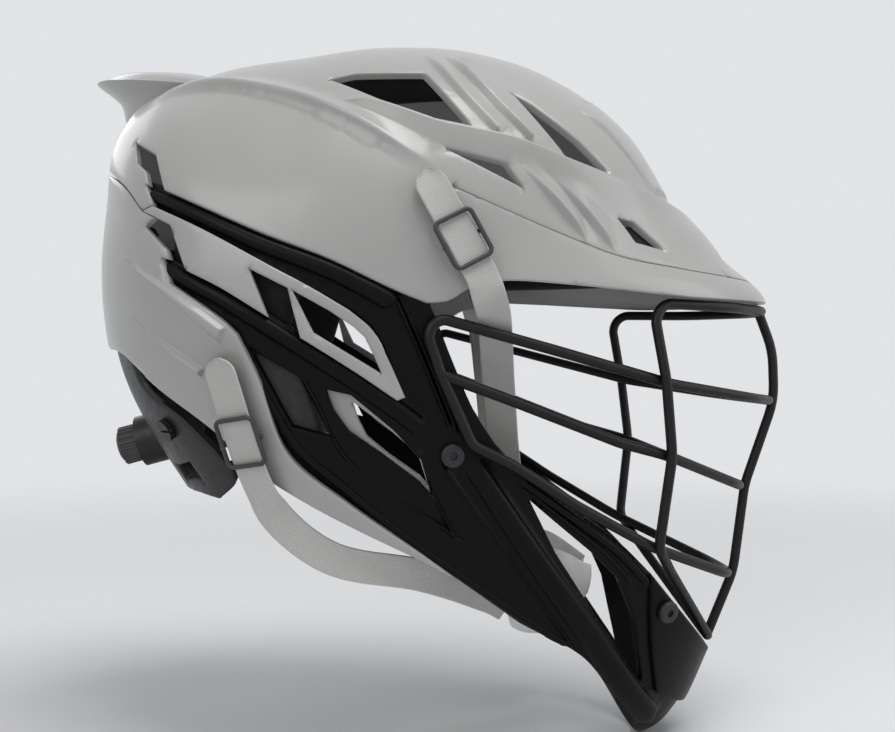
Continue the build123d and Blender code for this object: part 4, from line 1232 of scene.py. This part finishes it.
def side_pads(name, shares, node, material):
    """A pad and its twin, behind the windows."""
    moulding = pad_moulding(polygon(shares), INNER_DEPTH, SIDE_PAD_WALL)
    for piece in side_pieces(name, *moulding.half(), material, "foam", node):
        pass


def oval_loop():
    """The crown pad's outline on the disc: an ellipse seen from above, found by halving."""
    turns = np.arange(CROWN_PAD_STEPS + 1) / CROWN_PAD_STEPS * math.pi
    across = np.sin(turns) * CROWN_PAD_WIDTH / 2
    along = CROWN_PAD_CENTRE_SHARE * FORM_LENGTH - np.cos(turns) * CROWN_PAD_LENGTH / 2
    polar = np.arccos(across / (FORM_HALF_WIDTH - LINER_DEPTH))
    low, high = np.zeros(len(turns)), np.full(len(turns), math.pi)
    for _ in range(HALVINGS):
        middle = (low + high) / 2
        loop = np.stack([polar * np.cos(middle), polar * np.sin(middle)], 1)
        beyond = HEAD.from_disc(loop, LINER_DEPTH)[:, 0] > along
        low, high = np.where(beyond, middle, low), np.where(beyond, high, middle)
    loop[[0, -1]] *= PAST_MIDDLE_SHARE
    return loop[::-1]


def pads():
    dark = foam("foam_dark", (0.014, 0.014, 0.015))
    top = pad_moulding(None, LINER_DEPTH, LINER_WALL, oval_loop())
    middle_pad("crown_pad", top, "crown_liner", dark)
    for name, shares, node in (
        ("brow_pad", FRONT_PAD_SHARES, "front_pad"), ("back_pad", REAR_PAD_SHARES, "rear_pad"),
    ):
        middle_pad(name, pad_moulding(polygon(shares), LINER_DEPTH, LINER_WALL), node, dark)
    depth = LINER_DEPTH + CRADLE_WALL + FIT_GAP
    nape = pad_moulding(polygon(OCCIPITAL_PAD_SHARES), depth, OCCIPITAL_PAD_WALL)
    middle_pad("nape_pad", nape, "occipital_pad", dark, "cradle")
    side_pads("temple_pad_{}", SIDE_PAD_SHARES, "side_pad", dark)
    side_pads("cheek_pad_{}", EAR_PAD_SHARES, "ear_pad", foam("foam_grey", (0.045, 0.045, 0.046)))


# Face guard


def wire_path(points, bends):
    """Places along straight runs joined by arcs, each bend no wider than its runs allow."""
    places = [points[0]]
    for i in range(1, len(points) - 1):
        here = points[i]
        before, after = here - points[i - 1], points[i + 1] - here
        turn = before.angle(after)
        widest = BEND_SHARE * min(before.length, after.length) / math.tan(turn / 2)
        radius = min(bends[i], widest)
        reach = radius * math.tan(turn / 2)
        start, stop = here - before.normalized() * reach, here + after.normalized() * reach
        inward = (after.normalized() - before.normalized()).normalized()
        hub = here + inward * radius / math.cos(turn / 2)
        steps = max(BEND_LEAST_STEPS, math.ceil(turn / BEND_STEP))
        for k in range(steps + 1):
            swept = turn * k / steps
            outward = (start - hub).normalized() * math.cos(swept)
            places.append(hub + (outward + before.normalized() * math.sin(swept)) * radius)
    places.append(points[-1])
    return places


def opposite(points):
    """The same path on the left side, walked back."""
    return [Vector((point.x, -point.y, point.z)) for point in reversed(points)]


def along(path, share):
    """The place and the direction at a share of a path's length."""
    lengths = [(b - a).length for a, b in zip(path, path[1:])]
    left = share * sum(lengths)
    for a, b, length in zip(path, path[1:], lengths):
        if left <= length:
            return a + (b - a) * (left / length), (b - a).normalized()
        left -= length
    return path[-1], (path[-1] - path[-2]).normalized()


def on_top(path, share):
    """Centre of a wire welded across the outside of a bar, at a share of the bar."""
    point, direction = along(path, share)
    side = direction.cross(Vector((0, 0, 1)))
    out = side if side.y < 0 else -side
    return point + out.normalized() * (GUARD_WIRE - GUARD_WELD)


def guard_bars():
    """The three bars that run from side to side."""
    upper, middle, lower = (HEAD.place(share, GUARD_DEPTH) for share in GUARD_UPRIGHT_SHARES)
    seam = middle + (lower - middle) / 2
    top = [seam, middle, upper] + [free_place(share) for share in GUARD_TOP_SHARES]
    top_bends = [0, GUARD_SWEEP, GUARD_BEND] + [GUARD_SWEEP] * len(GUARD_TOP_SHARES)
    centre = [middle] + [free_place(share) for share in GUARD_MIDDLE_SHARES]
    low = [seam, lower] + [HEAD.place(share, GUARD_DEPTH) for share in GUARD_LOW_SIDE_SHARES]
    low += [free_place(share) for share in GUARD_LOW_SHARES]
    low_bends = [0, GUARD_BEND] + [GUARD_SWEEP] * (len(low) - 2)
    bars = {}
    for name, half, bends in (
        ("top", top, top_bends),
        ("middle", centre, [GUARD_SWEEP] * len(centre)),
        ("low", low, low_bends),
    ):
        bars[name] = wire_path(half + opposite(half)[1:], bends + bends[-2::-1])
    return bars


def face_guard(material):
    bars = guard_bars()
    crossings = {name: on_top(bars[name], GUARD_CROSSING_SHARES[name]) for name in bars}
    foot = [free_place(share) for share in GUARD_FOOT_SHARES]
    brim = [free_place(share) for share in GUARD_BRIM_SHARES]
    butt = crossings["low"] + (foot[0] - crossings["low"]) / 2
    over = [butt, crossings["low"], crossings["middle"], crossings["top"]] + brim
    over_bends = [GUARD_SWEEP] * 4 + [GUARD_BEND] + [GUARD_SWEEP] * 2
    brim_path = wire_path(over + opposite(over)[1:], over_bends + over_bends[-2::-1])
    under = [butt] + foot
    under_bends = [GUARD_SWEEP] * 2 + [GUARD_BEND]
    foot_path = wire_path(under + opposite(under)[1:], under_bends + under_bends[-2::-1])
    out = Vector((GUARD_WIRE - GUARD_WELD, 0, 0))
    front = [along(brim_path, 0.5)[0], free_place(GUARD_NOSE_SHARE)]
    front += [along(bars[name], 0.5)[0] + out for name in ("top", "middle", "low")]
    front.append(along(foot_path, 0.5)[0])
    paths = [wire_path(front, [GUARD_SWEEP] * len(front)), brim_path, foot_path, *bars.values()]
    guard = tube("guard_wires", paths, GUARD_WIRE / 2)
    dress(guard, material, "face_guard")


def tube(name, paths, radius, closed=False):
    """Round bars along paths, as one mesh."""
    curve = bpy.data.curves.new(name, "CURVE")
    curve.dimensions = "3D"
    curve.bevel_depth = radius
    curve.bevel_resolution = WIRE_ROUNDNESS
    curve.use_fill_caps = True
    for path in paths:
        spline = curve.splines.new("POLY")
        spline.points.add(len(path) - 1)
        for point, place in zip(spline.points, path):
            point.co = (*place, 1)
        spline.use_cyclic_u = closed
    drawn = add_object(name, curve)
    mesh = bpy.data.meshes.new_from_object(drawn)
    bpy.data.objects.remove(drawn)
    mesh.shade_smooth()
    return add_object(name, mesh)


# Straps and sliders


def strap_stations(end):
    """Places along a right-hand strap, each with the direction that its face looks in."""
    rise = STRAP_RISE + STRAP_BOW[end]
    shell = STRAP_SHELL_SHARES[end]
    look = (HEAD.look(shell[1], -rise) + HEAD.look(shell[2], -rise)).normalized()
    stations = [(HEAD.place(share, -rise), look) for share in shell]
    for share in STRAP_FREE_SHARES[end]:
        stations.append((free_place(share), Vector((0, -1, 0))))
    return stations


def strap_line(end):
    """Close places along the strap's middle with the direction of its face."""
    stations = strap_stations(end)
    places = [Vector(place) for place in smooth_run([place for place, _ in stations], STRAP_STEP)]
    looks = []
    for place in places:
        look = Vector((0, 0, 0))
        for mark, direction in stations:
            look += direction / max((place - mark).length, STRAP_NEAREST) ** 3
        looks.append(look.normalized())
    return places, looks


def strap(end, material):
    """The right and left straps: a section with raised edges, and a round end at the stud."""
    places, looks = strap_line(end)
    last = len(places) - 1
    upper = STRAP_EDGE_SECTION + [(0, STRAP_EDGE_SECTION[-1][1])]
    upper += [(-a, b) for a, b in STRAP_EDGE_SECTION[:0:-1]]
    section = upper + [(1, 0)] + [(a, -b) for a, b in upper[:0:-1]]
    half_width = STRAP_WIDTH / 2
    length = 0
    vertices, uvs = [], []
    for i, here in enumerate(places):
        run = places[min(i + 1, last)] - places[max(i - 1, 0)]
        length += (here - places[i - 1]).length if i else 0
        side = run.cross(looks[i]).normalized() * half_width
        up = side.cross(run).normalized() * STRAP_THICK / 2
        short = 1 - min(length / half_width, 1)
        narrow = math.sqrt(max(1 - short**2, STRAP_TIP_SHARE**2))
        vertices += [here + side * narrow * a + up * b for a, b in section]
        uvs += [(a * half_width, length) for a, b in section]
    faces = swept_faces(len(places), len(section))
    pair = side_pieces(
        f"strap_{end}_{{}}_webbing", np.array(vertices), faces, material, "webbing", f"strap_{end}",
        SWEPT_SHARP_ANGLE,
    )
    for piece in pair:
        layer = piece.data.uv_layers.new(name="along")
        for loop in piece.data.loops:
            layer.data[loop.index].uv = uvs[loop.vertex_index]


def slider_paths(end):
    """The right-hand slider's ring round the strap, bowed over it, and its bar under the strap."""
    stations = strap_stations(end)
    start, stop = stations[1][0], stations[2][0]
    middle = start + (stop - start) * SLIDER_PLACE_SHARE
    x_axis = (stop - start).normalized()
    look = stations[1][1]
    z_axis = (look - x_axis * look.dot(x_axis)).normalized()
    y_axis = z_axis.cross(x_axis)
    rail = STRAP_WIDTH / 2 + SLIDER_GAP + SLIDER_WIRE / 2
    rise = STRAP_THICK / 2 + SLIDER_GAP + SLIDER_WIRE / 2
    reach = (SLIDER_LENGTH - SLIDER_WIRE) / 2
    ring = []
    for number, (sign_x, sign_y) in enumerate([(1, 1), (-1, 1), (-1, -1), (1, -1)]):
        for k in range(SLIDER_CORNER_STEPS + 1):
            turn = math.pi / 2 * (number + k / SLIDER_CORNER_STEPS)
            x = sign_x * (reach - SLIDER_CORNER) + SLIDER_CORNER * math.cos(turn)
            y = sign_y * (rail - SLIDER_CORNER) + SLIDER_CORNER * math.sin(turn)
            ring.append((x, y, rise * (1 - SLIDER_BOW_SHARE * (1 - abs(x) / reach) ** 2)))
    bar = [(0, y * rail, z * rise) for y, z in SLIDER_BAR_SHARES]
    return [
        [middle + x_axis * x + y_axis * y + z_axis * z for x, y, z in path] for path in (ring, bar)
    ]


def sliders(end, material):
    """The right and left sliders, each a wire ring round the strap with a bar under it."""
    ring, bar = slider_paths(end)
    for side, sign in (("right", 1), ("left", -1)):
        body = f"slider_{end}_{side}"
        for name, path, closed in (("ring", ring, True), ("bar", bar, False)):
            placed = [Vector((place.x, place.y * sign, place.z)) for place in path]
            piece = tube(f"{body}_{name}", [placed], SLIDER_WIRE / 2, closed)
            dress(piece, material, body, body)


# Chin cup and rear cradle


def chin_cup(material, soft):
    moulding = Moulding(CUP, outline(*CUP_SHARES), 0, CUP_WALL, grid=CUP_GRID)
    whole_piece("chin_cup_shell", moulding, material, "chin_cup")
    pad = Moulding(
        CUP, outline(*CUP_PAD_SHARES), CUP_WALL + FIT_GAP, CUP_PAD_WALL, edge=CUP_PAD_EDGE,
        inner_edge=CUP_PAD_INNER_EDGE, grid=CUP_GRID,
    )
    piece = whole_piece("chin_cup_cushion", pad, soft, "chin_cup_pad")


def cradle(material):
    holes = [polygon(CRADLE_SLOT_SHARES)]
    moulding = Moulding(HEAD, outline(*CRADLE_SHARES), LINER_DEPTH, CRADLE_WALL, holes)
    whole_piece("fit_cradle_shell", moulding, material, "fit_cradle", "cradle")


def repaint(material, *nodes):
    """Gives carried-over CAD nodes a finish."""
    for node in nodes:
        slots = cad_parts[node].data.materials
        slots.clear()
        slots.append(material)


# Stage


def shader_mix(tree, share, first, second, output):
    """Mixes two shaders into an output."""
    mix = tree.nodes.new("ShaderNodeMixShader")
    for source, slot in zip((share, first, second), mix.inputs):
        tree.links.new(source, slot)
    tree.links.new(mix.outputs["Shader"], tree.nodes[output].inputs["Surface"])


def studio():
    """A world that lights from all round, and looks pale to the camera and in reflections."""
    world = bpy.data.worlds.new("studio")
    bpy.context.scene.world = world
    world.use_nodes = True
    tree = world.node_tree
    light = tree.nodes["Background"]
    light.inputs["Color"].default_value = (1, 1, 1, 1)
    light.inputs["Strength"].default_value = WORLD_LIGHT
    shown = tree.nodes.new("ShaderNodeBackground")
    shown.inputs["Color"].default_value = (*PALE, 1)
    path = tree.nodes.new("ShaderNodeLightPath")
    seen = path.outputs["Is Camera Ray"]
    for ray in ("Is Glossy Ray", "Is Transmission Ray"):
        either = tree.nodes.new("ShaderNodeMath")
        either.use_clamp = True
        tree.links.new(seen, either.inputs[0])
        tree.links.new(path.outputs[ray], either.inputs[1])
        seen = either.outputs["Value"]
    lit, pale = light.outputs["Background"], shown.outputs["Background"]
    shader_mix(tree, seen, lit, pale, "World Output")


def floor(level):
    """A pale disc that keeps the shadow and fades into the backdrop's colour further out."""
    places = [(0, 0, level)]
    for k in range(FLOOR_SIDES):
        turn = 2 * math.pi * k / FLOOR_SIDES
        places.append((FLOOR_RADIUS * math.cos(turn), FLOOR_RADIUS * math.sin(turn), level))
    faces = [(0, 1 + k, 1 + (k + 1) % FLOOR_SIDES) for k in range(FLOOR_SIDES)]
    piece = new_mesh("floor", places, faces)
    finish = Finish("floor_pale", FLOOR_COLOUR, 0.9, {"Specular IOR Level": 0.1})
    finish.tint(finish.noise(0.2, NOISE_DETAIL), 0.01)
    length = finish.node("VectorMath")
    length.operation = "LENGTH"
    fade = finish.node("MapRange", From_Min=FLOOR_FADE[0], From_Max=FLOOR_FADE[1])
    fade.interpolation_type = "SMOOTHSTEP"
    clear = finish.node("BsdfTransparent")
    finish.join(finish.coordinates.outputs["Object"], length.inputs[0])
    finish.join(length.outputs["Value"], fade.inputs["Value"])
    solid = finish.shader.outputs["BSDF"]
    shader_mix(finish.tree, fade.outputs["Result"], solid, clear.outputs["BSDF"], "Material Output")
    piece.data.materials.append(finish.material)


def lights():
    """Soft lamps that all look at the middle of the head."""
    for name, (place, size, power) in LAMPS.items():
        data = bpy.data.lights.new(name, "AREA")
        data.shape = "RECTANGLE"
        data.size, data.size_y = size
        data.energy = power
        lamp = add_object(name, data)
        lamp.location = place
        lamp.rotation_euler = (-Vector(place)).to_track_quat("-Z", "Y").to_euler()


def camera():
    data = bpy.data.cameras.new("camera")
    data.sensor_width = CAMERA_SENSOR
    data.lens = CAMERA_LENS
    data.clip_start = CAMERA_NEAR
    view = add_object("camera", data)
    view.location = CAMERA_PLACE
    view.rotation_euler = (math.pi / 2, 0, 0)
    bpy.context.scene.camera = view


def main():
    bpy.context.scene.view_settings.view_transform = "Standard"
    camera()
    studio()
    lights()
    grey = gloss_shell()
    black = frame_black()
    dark = plain_plastic("cradle_plastic", (0.009, 0.009, 0.0095), 0.42, 0.8 * MM, 0.03 * MM)
    stud_grey = plain_plastic("grey_plastic", (0.10, 0.10, 0.105), 0.4, 0.8 * MM, 0.02 * MM)
    adjuster = plain_plastic("adjuster_plastic", (0.045, 0.045, 0.048), 0.38, 0.7 * MM, 0.02 * MM)
    cup_white = plain_plastic("cup_plastic", (0.74, 0.74, 0.73), 0.35, 1.2 * MM, 0.015 * MM)
    screw_black = plain_plastic("screw_black", (0.02, 0.02, 0.021), 0.35, 0.5 * MM, 0.02 * MM)
    rubber = plain_plastic("dial_rubber", (0.060, 0.060, 0.061), 0.5, 0.5 * MM, 0.05 * MM)
    strip = webbing()
    for make in (crown, wing, visor, rear_shell, side_bands):
        make(grey)
    jaw_frame(black)
    chin_plate(black)
    window_rims(grey)
    face_guard(guard_coat())
    for end in ("front", "rear"):
        strap(end, strip)
        sliders(end, adjuster)
    chin_cup(cup_white, foam("foam_light", (0.40, 0.40, 0.39)))
    pads()
    cradle(dark)
    repaint(dark, "dial_housing", "cradle_studs")
    repaint(rubber, "fit_dial")
    repaint(stud_grey, "dial_cap", "strap_studs")
    repaint(screw_black, "jaw_screws", "chin_screws")
    floor(CAD_BOX[0][2])


main()
